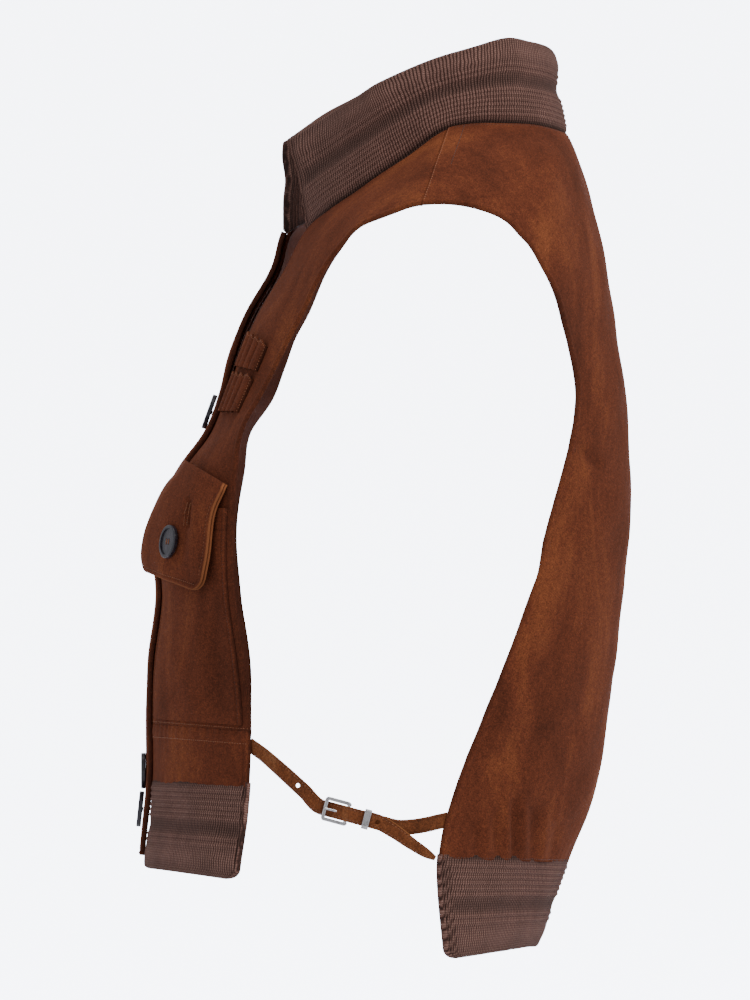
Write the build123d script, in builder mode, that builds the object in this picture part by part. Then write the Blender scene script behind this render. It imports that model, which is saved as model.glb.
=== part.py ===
# A sleeveless suede waistcoat with knitted collar and hems, held up by the neck and shoulders.
# Millimetres. The wearer faces -Y, the wearer's left side is +X and +Z is up.
# The origin is the middle of the neck opening, where the waistcoat rests on the wearer.
import os
from math import asin, cos, hypot, radians, sin

from build123d import *

os.makedirs("parts", exist_ok=True)

# Materials' thicknesses
suede = 1.4
lining = 0.6
knit = 5.0  # the knit is folded double
gap = 0.3  # between layers that only lie on each other

# Rows across the body: (y, z, x) of the inner edge of the outer face, then of its outer edge.
shoulder_row = (8, 33, 71, -9, -14.5, 150)
chest_rows = [
    (-19, 15, 69, -28, -20, 148),
    (-45, -3, 60, -50, -29, 138),
    (-68, -19, 44, -63, -44, 124),
    (-83, -32, 20, -74, -61, 115),
    (-97, -58, 17, -85, -84, 108),
    (-113, -84, 15, -95, -102, 104),
    (-125, -112, 13, -104, -119, 101),
    (-134, -136, 12, -114, -138, 100),
]
belly_rows = [
    (-144, -161, 8, -125, -161, 103),
    (-162, -186, 8, -129, -186, 110),
    (-178, -223, 8, -131, -221, 118),
    (-176, -269, 8, -130, -269, 122),
    (-181, -307, 8, -124, -308, 126),
]
waist_row = (-182, -348, 8, -120, -353, 130)
knit_row = (-182, -384, 8, -121, -387, 133)
hem_row = (-188, -440, 8, -129, -448, 133)
# The right front stands further forward beside the collar, where the neck is left unbuttoned,
# and its armhole edge hangs a little further back than the left one.
chest_rows_right = [
    (-19, 15, 69, -28, -20, 148),
    (-46, -3, 60, -50, -29, 138),
    (-73, -20, 40, -62, -44, 124),
    (-94, -32, 10, -72, -61, 115),
    (-102, -57, 8, -82, -84, 108),
    (-117, -84, 8, -92, -102, 104),
    (-129, -112, 8, -98, -119, 101),
    (-135, -136, 8, -105, -138, 100),
]
belly_drift_right = (5, 5, 2, 4, 4)
nape_rows = [
    (25, 36, 69, 8, -14, 151),
    (45, 36, 61, 28, -18, 150),
    (65, 35, 45, 45, -26, 148),
    (78, 32, 24, 54, -35, 146),
]
back_rows = [
    (84, 29, 0, 61, -42, 142),
    (93, 8, 0, 74, -65, 132),
    (107, -42, 0, 83, -93, 116),
    (114, -86, 0, 88, -116, 103),
    (122, -141, 0, 91, -141, 98),
    (124, -175, 0, 85, -177, 106),
    (125, -205, 0, 77, -205, 113),
    (121, -256, 0, 64, -255, 124),
    (116, -298, 0, 50, -296, 131),
    (109, -352, 0, 28, -352, 139),
    (102, -391, 0, 13, -391, 141),
    (85, -435, 0, 3, -433, 141),
]
back_hem_row = (64, -491, 0, 8, -499, 139)

# Closure
placket_half = 18.0
placket_low, placket_high = 0.3, 3.1
stand_low, stand_high = -4.8, -1.9
placket_button_heights = (-150, -240, -378, -403)
placket_button_radius = 11.5
pocket_button_radius = 10.8
button_thick = 3.1
placket_button_gap = 0.15
button_stand_off = 0.8
thread_radius = 1.3

# Pockets and flaps
pocket_inner, pocket_inset = 30.0, 4.0
flap_rows = [
    (-161, -179, 30, -136, -194, 111),
    (-180, -208, 30, -144, -213, 113),
    (-189, -238, 30, -149, -247, 115),
    (-188, -250, 30, -153, -264, 113),
]
flap_bulges = (7.5, 7.0, 5.0, 4.5)  # height of each row's arc over its own chord
button_across, button_down = 80.0, 0.68  # place of the pocket button on its flap
flap_outer_thick, flap_facing_thick = 1.6, 1.4

# Loop strips on the chest
loop_count = 4
loop_height = 3.2
loop_from, loop_to = 33.0, 82.0

# Side strap and hardware; the lengths along the strap start at the buckle's heel bar
strap_width, strap_thick = 9.6, 1.3
heel_bar = (151.0, -57.0, -405.8)
strap_slope = 15.0  # degrees, down towards the back
frame_length, frame_inside, frame_wall, frame_thick = 14.4, 11.2, 2.3, 2.0
bar_radius, prong_radius, prong_reach = 1.1, 0.85, 15.4
keeper_place, keeper_length, keeper_wall = 13.0, 4.4, 1.2
tip_start, hole_pitch, hole_radius = 22.0, 27.0, 1.8
prong_hole_place = -6.8


def arc_of(row, bulge=None):
    """Centre (x, y) and radius of a row's outer face, in the row's own plane."""
    y_in, z_in, x_in, y_out, z_out, x_out = row
    depth = hypot(y_out - y_in, z_out - z_in)
    if bulge is None:
        middle = (x_out**2 + depth**2 - x_in**2) / (2 * depth)
        return 0.0, middle, hypot(x_in, middle)
    width = x_out - x_in
    chord = hypot(width, depth)
    radius = (chord**2 / 4 + bulge**2) / (2 * bulge)
    reach = (radius - bulge) / chord
    return (x_in + x_out) / 2 - depth * reach, depth / 2 + width * reach, radius


def plane_of(row):
    """A row's plane: local X is the body's X and local Y runs from inner to outer edge."""
    y_in, z_in, _, y_out, z_out, _ = row
    across = Vector(0, y_out - y_in, z_out - z_in)
    return Plane(origin=(0, y_in, z_in), x_dir=(1, 0, 0), z_dir=Vector(1, 0, 0).cross(across))


def point_at(arc, x, off):
    """The point of an arc over x, moved out along the arc's normal."""
    mid_x, mid_y, radius = arc
    turn = asin((x - mid_x) / radius)
    return mid_x + (radius + off) * sin(turn), mid_y - (radius + off) * cos(turn)


def between(row_a, row_b, share):
    """The row that lies a share of the way from one row to the next."""
    return tuple(a + (b - a) * share for a, b in zip(row_a, row_b))


def section(row, start, stop, low, high, bulge=None):
    """The section of a band in a row's plane, as an arc ribbon."""
    arc = arc_of(row, bulge)
    middle = (start + stop) / 2
    with BuildSketch(plane_of(row)) as ribbon_section:
        with BuildLine():
            outside = ThreePointArc(*[point_at(arc, x, high) for x in (start, middle, stop)])
            inside = ThreePointArc(*[point_at(arc, x, low) for x in (start, middle, stop)])
            Line(outside @ 0, inside @ 0)
            Line(outside @ 1, inside @ 1)
        make_face()
    return ribbon_section.sketch


def save(piece, name):
    piece.part.label = name
    export_step(piece.part, f"parts/{name}.step")


def finish_side(piece, right):
    """Turns a finished left piece into the right one where it is asked for."""
    if right:
        with piece:
            mirror(about=Plane.YZ, mode=Mode.REPLACE)


def band(name, rows, start, stop, low, high, right=False):
    """A ribbon through the rows; start and stop are functions of the row."""
    with BuildPart() as piece:
        loft([section(row, start(row), stop(row), low, high) for row in rows], ruled=True)
    finish_side(piece, right)
    save(piece, name)


def inner_edge(row):
    return row[2]


def outer_edge(row):
    return row[5]


def drifted(row, back):
    """A row with its outer edge moved back."""
    return (*row[:3], row[3] + back, *row[4:])


belly_rows_right = [drifted(row, back) for row, back in zip(belly_rows, belly_drift_right)]
left_rows = [shoulder_row, *chest_rows, *belly_rows, waist_row]
right_rows = [shoulder_row, *chest_rows_right, *belly_rows_right, waist_row]
sides = (("left", left_rows, False), ("right", right_rows, True))

# Suede fronts, their linings, waistbands and knitted hems
for side, rows, right in sides:
    band(f"front_panel_{side}", rows, inner_edge, outer_edge, -suede, 0, right)
    lining_top = -suede - gap
    band(
        f"front_lining_{side}",
        rows,
        lambda row: max(row[2] + 2, placket_half + 1.5),
        lambda row: row[5] - 3,
        lining_top - lining,
        lining_top,
        right,
    )
    band(f"waistband_{side}", [waist_row, knit_row], inner_edge, outer_edge, -suede, 0, right)
    band(
        f"hem_rib_{side}",
        [between(knit_row, hem_row, 0.01), hem_row],
        lambda row: placket_half + 3.5,
        outer_edge,
        1.5 - knit,
        1.5,
        right,
    )

# Back panel in one piece, its lining and its knitted hem
def whole_back(name, rows, start, stop, low, high):
    """A band that runs across the whole back, made as a left half and mirrored."""
    with BuildPart() as piece:
        loft([section(row, start(row), stop(row), low, high) for row in rows], ruled=True)
        mirror(about=Plane.YZ)
    save(piece, name)


def lining_inner_edge(row):
    return row[2] + 2 if row[2] else 0


def lining_outer_edge(row):
    return row[5] - 3


whole_back("back_panel", [shoulder_row, *nape_rows, *back_rows], inner_edge, outer_edge, -suede, 0)
whole_back(
    "back_lining",
    [*nape_rows, *back_rows],
    lining_inner_edge,
    lining_outer_edge,
    -suede - gap - lining,
    -suede - gap,
)
back_hem_rows = [between(back_rows[-1], back_hem_row, 0.02), back_hem_row]
whole_back("hem_rib_back", back_hem_rows, inner_edge, outer_edge, 1.0 - knit, 1.0)

# Placket: the right front's band lies over the left front's button stand
closure_end = between(knit_row, hem_row, 0.86)
collar_end = between(chest_rows_right[3], chest_rows_right[4], 0.12)
open_rows = [collar_end, *chest_rows_right[4:6]]  # where the neck is left unbuttoned
over_rows = [*open_rows, *chest_rows_right[6:], *belly_rows_right, waist_row, knit_row, closure_end]
band(
    "placket_over_right",
    over_rows,
    lambda row: -placket_half,
    lambda row: 2.0 if row in open_rows else placket_half,
    placket_low,
    placket_high,
)
band(
    "button_stand_left",
    [between(chest_rows[3], chest_rows[4], 0.12), *chest_rows[4:], *belly_rows]
    + [waist_row, knit_row, closure_end],
    lambda row: 1.0 - placket_half,
    lambda row: placket_half - 1.0,
    stand_low,
    stand_high,
)


def row_at(rows, height):
    """The row of a front where its centre line is at a height."""
    for above, below in zip(rows, rows[1:]):
        if above[1] >= height >= below[1]:
            return between(above, below, (above[1] - height) / (above[1] - below[1]))
    raise ValueError(height)


def slope_plane(rows, height):
    """Plane that lies on the middle of a front at a height and looks out of the body."""
    above, below = row_at(rows, height + 4), row_at(rows, height - 4)
    down = Vector(0, below[0] - above[0], below[1] - above[1])
    out = down.cross(Vector(1, 0, 0)).normalized()
    row = row_at(rows, height)
    middle = plane_of(row).from_local_coords(Vector(*point_at(arc_of(row), 0, 0), 0))
    return Plane(origin=middle, x_dir=(1, 0, 0), z_dir=out)


def button(plane, radius, right=False):
    """A rimmed round button with a dished face and four sewing holes."""
    with BuildPart(plane) as disc:
        Cylinder(radius, button_thick, align=(Align.CENTER, Align.CENTER, Align.MIN))
        fillet(disc.edges().filter_by(GeomType.CIRCLE), 0.8)
        with Locations((0, 0, button_thick)):
            Cylinder(radius - 2.2, 1.8, mode=Mode.SUBTRACT)
        with GridLocations(3.0, 3.0, 2, 2):
            Cylinder(0.75, 4 * button_thick, mode=Mode.SUBTRACT)
    finish_side(disc, right)
    return disc


def shank(plane, low, high, right=False):
    """The thread under a button, from one height over a plane to another."""
    with BuildPart(plane.offset(low)) as thread:
        Cylinder(thread_radius, high - low, align=(Align.CENTER, Align.CENTER, Align.MIN))
    finish_side(thread, right)
    return thread


button_off = placket_high + gap + placket_button_gap
button_planes = [slope_plane(over_rows, height) for height in placket_button_heights]
discs = [button(plane.offset(button_off), placket_button_radius).part for plane in button_planes]
with BuildPart() as placket_buttons:
    add(discs)
save(placket_buttons, "placket_buttons")

threads = [shank(plane, placket_high, button_off).part for plane in button_planes]
with BuildPart() as placket_threads:
    add(threads)
save(placket_threads, "placket_button_threads")

# Pockets, flaps and pocket buttons
pocket_top = -212


def pocket_rows(belly):
    return [row_at(belly, pocket_top), *belly[2:], between(belly[-1], waist_row, 0.92)]


def flap_layer(name, low, high, right):
    """One of the two layers of a pocket flap, with rounded lower corners."""
    rows = zip(flap_rows, flap_bulges)
    with BuildPart() as piece:
        loft([section(row, row[2], row[5], low, high, bulge) for row, bulge in rows], ruled=True)
    finish_side(piece, right)
    save(piece, name)


def flap_button_plane():
    """Plane on the flap's outer face where the pocket button sits."""
    spots = []
    for row, bulge in zip(flap_rows[1:3], flap_bulges[1:3]):
        flat, arc = plane_of(row), arc_of(row, bulge)
        spots.append([
            flat.from_local_coords(Vector(*point_at(arc, x, 0), 0))
            for x in (button_across - 5, button_across, button_across + 5)
        ])
    high, low = spots
    out = (low[1] - high[1]).cross(high[2] - high[0]).normalized()
    if out.Y > 0:
        out = -out
    centre = high[1] + (low[1] - high[1]) * button_down
    return Plane(origin=centre + out * button_stand_off, x_dir=Vector(0, 0, 1).cross(out), z_dir=out)


for side, rows, right in sides:
    band(
        f"pocket_{side}",
        pocket_rows(rows[9:14]),
        lambda row: pocket_inner,
        lambda row: row[5] - pocket_inset,
        gap,
        gap + suede,
        right,
    )
    facing_top = -flap_outer_thick
    flap_layer(f"pocket_flap_{side}", facing_top, 0, right)
    flap_layer(f"flap_facing_{side}", facing_top - flap_facing_thick, facing_top, right)
    save(button(flap_button_plane(), pocket_button_radius, right), f"pocket_button_{side}")
    save(shank(flap_button_plane(), -0.6, 0, right), f"pocket_button_thread_{side}")


def loop_face(row):
    """Section of a loop strip: a row of low tunnels side by side on the chest."""
    arc = arc_of(row)
    pitch = (loop_to - loop_from) / loop_count
    with BuildSketch(plane_of(row)) as tunnels:
        with BuildLine():
            for turn in range(loop_count):
                x = loop_from + turn * pitch
                xs = (x, x + pitch / 2, x + pitch)
                offs = (gap + 1.2, gap + loop_height, gap + 1.2)
                ThreePointArc(*[point_at(arc, a, b) for a, b in zip(xs, offs)])
                xs = (x + 1.2, x + pitch / 2, x + pitch - 1.2)
                offs = (gap, gap + loop_height - 1.2, gap)
                ThreePointArc(*[point_at(arc, a, b) for a, b in zip(xs, offs)])
                if turn:
                    Line(point_at(arc, x - 1.2, gap), point_at(arc, x + 1.2, gap))
            Line(point_at(arc, loop_from, gap + 1.2), point_at(arc, loop_from, gap))
            Line(point_at(arc, loop_from, gap), point_at(arc, loop_from + 1.2, gap))
            Line(point_at(arc, loop_to, gap + 1.2), point_at(arc, loop_to, gap))
            Line(point_at(arc, loop_to, gap), point_at(arc, loop_to - 1.2, gap))
        make_face()
    return tunnels.sketch


# Each strip starts a share of the way down from one chest row and ends as far below another.
loop_spans = {"upper": (6, 0.5, 7, 0.3), "lower": (7, 0.5, 8, 0.5)}
for level, (first, first_share, last, last_share) in loop_spans.items():
    for side, rows, right in sides:
        top_row = between(rows[first], rows[first + 1], first_share)
        low_row = between(rows[last], rows[last + 1], last_share)
        with BuildPart() as loop_strip:
            loft([loop_face(row) for row in (top_row, rows[last], low_row)], ruled=True)
        finish_side(loop_strip, right)
        save(loop_strip, f"loop_strip_{level}_{side}")

# Knitted collar: the seam line and the folded top edge, from the left front round to the right
seam_half = [(69, -19, 15), (71, 8, 33), (69, 25, 36), (61, 45, 36), (45, 65, 35), (24, 78, 32)]
edge_half = [(68, -36, 63), (70, 2, 79), (68, 23, 85), (60, 45, 91), (42, 61, 89), (22, 72, 86)]
seam_front_left = [(20, -83, -32), (44, -68, -19), (60, -45, -3)]
edge_front_left = [(15, -95, 26), (42, -68, 43), (58, -52, 53)]
seam_front_right = [(-2, -98, -32), (-38, -74, -20), (-60, -46, -3)]
edge_front_right = [(0, -98, 25), (-36, -74, 42), (-57, -53, 53)]


def mirrored(points):
    return [(-x, y, z) for x, y, z in reversed(points)]


seam_line = [*seam_front_left, *seam_half, (0, 84, 29), *mirrored(seam_half), *reversed(seam_front_right)]
edge_line = [*edge_front_left, *edge_half, (0, 76, 82), *mirrored(edge_half), *reversed(edge_front_right)]
collar_lift = 1.6  # keeps the band clear of the suede edges it is sewn to


def collar_section(turn):
    """The folded knit's section at one point of the seam line."""
    last = len(seam_line) - 1
    ahead = Vector(*seam_line[min(turn + 1, last)]) - Vector(*seam_line[max(turn - 1, 0)])
    rise = (Vector(*edge_line[turn]) - Vector(*seam_line[turn])).normalized()
    out = ahead.cross(rise).normalized()
    foot = Vector(*seam_line[turn]) + rise * collar_lift
    tall = (Vector(*edge_line[turn]) - foot).length
    with BuildSketch(Plane(origin=foot, x_dir=out, z_dir=out.cross(rise))) as fold:
        with Locations((-knit / 2, tall / 2)):
            Rectangle(knit, tall)
    return fold.sketch


with BuildPart() as collar_rib:
    loft([collar_section(turn) for turn in range(len(seam_line))], ruled=True)
save(collar_rib, "collar_rib")

# Side strap: local X runs to the back, local Y up, local Z out of the body, from the heel bar
slope = radians(strap_slope)
strap_frame = Plane(origin=heel_bar, x_dir=(0, cos(slope), -sin(slope)), z_dir=(1, 0, 0))
side_view = Plane(origin=heel_bar, x_dir=strap_frame.x_dir, z_dir=-strap_frame.y_dir)


def in_body(x, y, z):
    """A point of the strap's own frame, in the body's frame."""
    return strap_frame.from_local_coords(Vector(x, y, z))


def strap_face(centre, ahead, out, width, thick=strap_thick):
    """The flat section of a strap at one point."""
    with BuildSketch(Plane(origin=centre, x_dir=out, z_dir=ahead)) as cut:
        Rectangle(thick, width)
    return cut.sketch


def ribbon_faces(centres, widths, leans):
    """Sections of a flat strap; a lean tips its width off the vertical, in degrees."""
    faces = []
    for turn, (centre, width, lean) in enumerate(zip(centres, widths, leans)):
        ahead = centres[min(turn + 1, len(centres) - 1)] - centres[max(turn - 1, 0)]
        up = Vector(sin(radians(lean)), 0, cos(radians(lean)))
        out = up.cross(ahead).normalized()
        if out.X < 0:
            out = -out
        faces.append(strap_face(centre, ahead, out, width))
    return faces


def layer(points):
    """The side view of a strap layer of even thickness, from the middle line of the layer."""
    half = strap_thick / 2
    outline = [(x, z + half) for x, z in points] + [(x, z - half) for x, z in reversed(points)]
    with BuildSketch(side_view) as shape:
        with BuildLine():
            Polyline(*outline, close=True)
        make_face()
    return shape.sketch


layer_under, layer_over, layer_flat = -2.05, 3.75, 2.6  # heights of the front strap's middle
front_join = -17.0  # where the free run of the front strap meets the buckle's straight run
front_layer = [
    (front_join, layer_under),
    (-13.5, layer_under),
    (-1.5, layer_over),
    (4, layer_over),
    (8, layer_flat),
    (tip_start - gap, layer_flat),
]
waist_run = [
    Vector(127.0, -119.2, -361.5),
    Vector(134, -110.8, -367.5),
    Vector(140, -101.5, -375.5),
    Vector(146, -84.5, -391),
]
first_hole = Plane(origin=(144.7, -88.3, -387.5), x_dir=(0.26, 0.71, -0.65), z_dir=(1, -0.37, 0))
tip_run = [in_body(32, -2.8, 3.0), in_body(46, -8, 3.3), in_body(57, -11.5, 3.2), in_body(62, -12.8, 3.1)]
fold_wide, fold_tight = 2.7, 1.4  # outer and inner radius of the back strap round the heel bar
lie_high, lie_low = 1.45, 0.15  # the folded strap's faces where its two layers lie together
fold_end, back_join = 27.0, 30.0
back_run = [
    Vector(149.2, -25.5, -414.1),
    Vector(147, -16, -414),
    Vector(144, -6, -412.5),
    Vector(140.4, 2, -410.6),
    Vector(137.6, 7.6, -409.4),
]

for side, _, right in sides:
    run_end = strap_face(in_body(front_join, 0, layer_under), strap_frame.x_dir, (1, 0, 0), strap_width)
    with BuildPart() as strap_front:
        loft([*ribbon_faces(waist_run, [strap_width] * 4, [8, 7, 5, 3]), run_end], ruled=True)
        extrude(layer(front_layer), amount=strap_width / 2, both=True)
        with Locations(strap_frame * Pos(prong_hole_place, 0, 0)):
            Box(7.2, 2.9, 12, mode=Mode.SUBTRACT)
        with Locations(strap_frame * Pos(prong_hole_place + hole_pitch, 0, 0)):
            Cylinder(hole_radius, 12, mode=Mode.SUBTRACT)
        with Locations(first_hole):
            Cylinder(hole_radius, 12, mode=Mode.SUBTRACT)
    finish_side(strap_front, right)
    save(strap_front, f"side_strap_front_{side}")

    tip_face = strap_face(in_body(tip_start, 0, layer_flat), strap_frame.x_dir, (1, 0, 0), strap_width)
    with BuildPart() as strap_tip:
        loft([tip_face, *ribbon_faces(tip_run, [strap_width, 9.2, 7.0, 2.6], [0] * 4)], ruled=True)
    finish_side(strap_tip, right)
    save(strap_tip, f"side_strap_tip_{side}")

    join_mid = -(lie_high + lie_low) / 2
    run_start = strap_face(in_body(back_join, 0, join_mid), strap_frame.x_dir, (1, 0, 0), strap_width)
    with BuildPart() as strap_back:
        with BuildSketch(side_view):
            with BuildLine():
                Polyline((back_join, -lie_high), (8, -lie_high), (2, -fold_wide), (0, -fold_wide))
                ThreePointArc((0, -fold_wide), (-fold_wide, 0), (0, fold_wide))
                Polyline((0, fold_wide), (2, fold_wide), (8, lie_high), (fold_end, lie_high))
                Polyline((fold_end, lie_high), (fold_end, lie_low), (8, lie_low), (2, fold_tight))
                Line((2, fold_tight), (0, fold_tight))
                ThreePointArc((0, fold_tight), (-fold_tight, 0), (0, -fold_tight))
                Polyline((0, -fold_tight), (2, -fold_tight), (8, -lie_low), (back_join, -lie_low))
                Line((back_join, -lie_low), (back_join, -lie_high))
            make_face()
        extrude(amount=strap_width / 2, both=True)
        with Locations(strap_frame * Pos(-0.6, 0, 0)):
            Box(6, 3.2, 8, mode=Mode.SUBTRACT)
        loft([run_start, *ribbon_faces(back_run, [strap_width] * 5, [0, 2, 4, 6, 6])], ruled=True)
    finish_side(strap_back, right)
    save(strap_back, f"side_strap_back_{side}")

    with BuildPart() as stitches:
        with Locations(*[strap_frame * Pos(x, 0, lie_high + 0.18) for x in (17.5, 24)]):
            Box(0.7, strap_width - 1.4, 0.3)
    finish_side(stitches, right)
    save(stitches, f"strap_stitches_{side}")

    frame_outside = frame_inside + 2 * frame_wall
    with BuildPart() as buckle_frame:
        with BuildSketch(strap_frame):
            with Locations((1.6 - (frame_length + 2.9) / 2, 0)):
                RectangleRounded(frame_length + 2.9, frame_outside, 2.2)
            with Locations((-5.15, 0)):
                Rectangle(16.3, frame_inside, mode=Mode.SUBTRACT)
        extrude(amount=frame_thick / 2, both=True)
        fillet(buckle_frame.faces().group_by(Axis.X)[-1].edges(), 0.6)
        with Locations(strap_frame * Rot(90, 0, 0)):
            Cylinder(bar_radius, frame_inside + 1)
    finish_side(buckle_frame, right)
    save(buckle_frame, f"buckle_frame_{side}")

    prong_root, prong_end = in_body(-1.5, 0, 0.6), in_body(-prong_reach, 0, 2.35)
    with BuildPart() as prong:
        with Locations(strap_frame * Rot(90, 0, 0)):
            Cylinder(2.1, 2.4)
            Cylinder(bar_radius + 0.15, 3, mode=Mode.SUBTRACT)
        with BuildSketch(Plane(origin=prong_root, x_dir=(0, 0.26, 0.97), z_dir=prong_end - prong_root)):
            Circle(prong_radius)
        extrude(amount=(prong_end - prong_root).length)
        fillet(prong.edges().filter_by(GeomType.CIRCLE).sort_by_distance(prong_end)[0], 0.5)
    finish_side(prong, right)
    save(prong, f"buckle_prong_{side}")

    keeper_low, keeper_high = -lie_high - 0.4, layer_flat + strap_thick / 2 + 0.4
    with BuildPart() as keeper:
        with BuildSketch(Plane(in_body(keeper_place, 0, 0), x_dir=(1, 0, 0), z_dir=strap_frame.x_dir)):
            with Locations(((keeper_low + keeper_high) / 2, 0)):
                RectangleRounded(
                    keeper_high - keeper_low + 2 * keeper_wall, strap_width + 1 + 2 * keeper_wall, 2.0
                )
                RectangleRounded(
                    keeper_high - keeper_low, strap_width + 1, 0.8, mode=Mode.SUBTRACT
                )
        extrude(amount=keeper_length / 2, both=True)
        fillet(keeper.edges().filter_by(GeomType.LINE).group_by(Axis.X)[-1], 0.3)
    finish_side(keeper, right)
    save(keeper, f"strap_keeper_{side}")
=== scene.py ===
import math

import bpy
import numpy as np
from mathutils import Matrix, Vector


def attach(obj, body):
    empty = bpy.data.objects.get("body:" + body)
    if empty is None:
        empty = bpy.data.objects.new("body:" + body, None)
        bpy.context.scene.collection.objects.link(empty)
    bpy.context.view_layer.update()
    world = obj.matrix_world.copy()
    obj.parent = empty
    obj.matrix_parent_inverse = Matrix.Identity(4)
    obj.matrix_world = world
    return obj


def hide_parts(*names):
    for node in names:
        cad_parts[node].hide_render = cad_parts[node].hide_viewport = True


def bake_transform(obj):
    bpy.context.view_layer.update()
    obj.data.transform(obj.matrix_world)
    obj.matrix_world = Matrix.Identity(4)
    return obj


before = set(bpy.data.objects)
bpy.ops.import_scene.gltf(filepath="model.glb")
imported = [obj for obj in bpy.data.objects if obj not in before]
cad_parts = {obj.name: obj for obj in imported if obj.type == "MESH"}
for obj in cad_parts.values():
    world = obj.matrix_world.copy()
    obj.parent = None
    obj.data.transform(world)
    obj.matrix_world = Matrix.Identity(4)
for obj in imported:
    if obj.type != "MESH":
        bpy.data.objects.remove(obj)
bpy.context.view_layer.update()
bpy.ops.object.select_all(action="DESELECT")
print("stage: frame loaded")

# The wearer faces -Y, the wearer's left is +X. Lengths in the tables are millimetres.

camera = bpy.data.objects.new("camera", bpy.data.cameras.new("camera"))
bpy.context.scene.collection.objects.link(camera)
bpy.context.scene.camera = camera
camera.data.type = "ORTHO"
camera.data.ortho_scale = 0.64
camera.data.clip_end = 20
camera.location = (3.0, -0.03904, -0.2048)
camera.rotation_euler = (math.radians(90), 0, math.radians(90))


def linear(code):
    parts = [int(code[place : place + 2], 16) / 255 for place in (1, 3, 5)]
    return tuple(
        part / 12.92 if part <= 0.04045 else ((part + 0.055) / 1.055) ** 2.4 for part in parts
    ) + (1,)


def addNode(tree, kind, inputs=None, stops=None, **settings):
    made = tree.nodes.new("ShaderNode" + kind)
    for name, value in settings.items():
        setattr(made, name, value)
    for name, value in (inputs or {}).items():
        if isinstance(value, bpy.types.NodeSocket):
            tree.links.new(value, made.inputs[name])
        else:
            made.inputs[name].default_value = value
    if stops:
        elements = made.color_ramp.elements
        while len(elements) < len(stops):
            elements.new(0.5)
        for element, (place, colour) in zip(elements, stops):
            element.position = place
            element.color = linear(colour) if isinstance(colour, str) else (colour, colour, colour, 1)
    return made


def reckon(tree, operation, *values):
    return addNode(tree, "Math", dict(enumerate(values)), operation=operation).outputs[0]


def noise(tree, inputs):
    return addNode(tree, "TexNoise", inputs).outputs["Fac"]


def multiplied(tree, first, second, share=1.0):
    return addNode(
        tree, "Mix", {6: first, 7: second, 0: share}, data_type="RGBA", blend_type="MULTIPLY"
    ).outputs[2]


def ramp(tree, value, *stops):
    return addNode(tree, "ValToRGB", {"Fac": value}, stops).outputs["Color"]


def surfaced(tree, shader, colour, bump, roughness=None):
    tree.links.new(colour, shader.inputs["Base Color"])
    tree.links.new(bump, shader.inputs["Normal"])
    if roughness is not None:
        tree.links.new(roughness, shader.inputs["Roughness"])


def startMaterial(name):
    material = bpy.data.materials.new(name)
    material.use_nodes = True
    tree = material.node_tree
    return material, tree, tree.nodes["Principled BSDF"]


# Napped leather: patches where the nap lies either way, short fibres, pale worn cut edges, and painted
# shade that darkens the colour in grooves, fold hollows and along seams.
def suedeMaterial(name, look):
    material, tree, shader = startMaterial(name)
    place = addNode(tree, "TexCoord").outputs["Object"]
    streak = addNode(tree, "Mapping", {"Vector": place, "Scale": (1, 1, 0.45)}).outputs["Vector"]
    patches = noise(
        tree,
        {"Vector": streak, "Scale": look["patchScale"], "Detail": 5, "Roughness": 0.62, "Distortion": 0.5},
    )
    rubbed = noise(tree, {"Vector": place, "Scale": 330, "Detail": 4, "Roughness": 0.7})
    fibres = noise(tree, {"Vector": place, "Scale": 1150, "Detail": 3, "Roughness": 0.75})
    mixed = addNode(
        tree, "Mix", {"Factor": 0.3, "A": patches, "B": rubbed}
    ).outputs["Result"]
    tone = ramp(tree, mixed, (0.33, look["dark"]), (0.5, look["main"]), (0.68, look["light"]))
    speck = ramp(tree, fibres, (0.34, 0.35), (0.5, 0.92), (0.66, 1.6))
    napped = multiplied(tree, tone, speck, 0.75)
    edge = addNode(tree, "Attribute", attribute_name="edge").outputs["Fac"]
    worn = ramp(tree, edge, (0.0, 0.8), (0.05, 0.45), (0.09, 0.0))
    wornTone = addNode(
        tree, "Mix", {6: napped, 7: linear(look["edge"]), 0: worn}, data_type="RGBA"
    ).outputs[2]
    # Painted shade: the paintedShade value of the mesh darkens the colour.
    paintedShade = addNode(tree, "Attribute", attribute_name="paintedShade").outputs["Fac"]
    shaded = ramp(tree, paintedShade, (0.0, 1.0), (1.0, 0.35))
    final = multiplied(tree, wornTone, shaded)
    height = addNode(
        tree, "Mix", {"Factor": 0.4, "A": rubbed, "B": fibres}
    ).outputs["Result"]
    bump = addNode(tree, "Bump", {"Height": height, "Strength": 0.55, "Distance": 0.0007}).outputs["Normal"]
    surfaced(tree, shader, final, bump)
    shader.inputs["Roughness"].default_value = 0.92
    shader.inputs["Specular IOR Level"].default_value = 0.18
    shader.inputs["Sheen Weight"].default_value = look["sheen"]
    shader.inputs["Sheen Roughness"].default_value = 0.45
    shader.inputs["Sheen Tint"].default_value = linear(look["light"])
    return material
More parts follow.
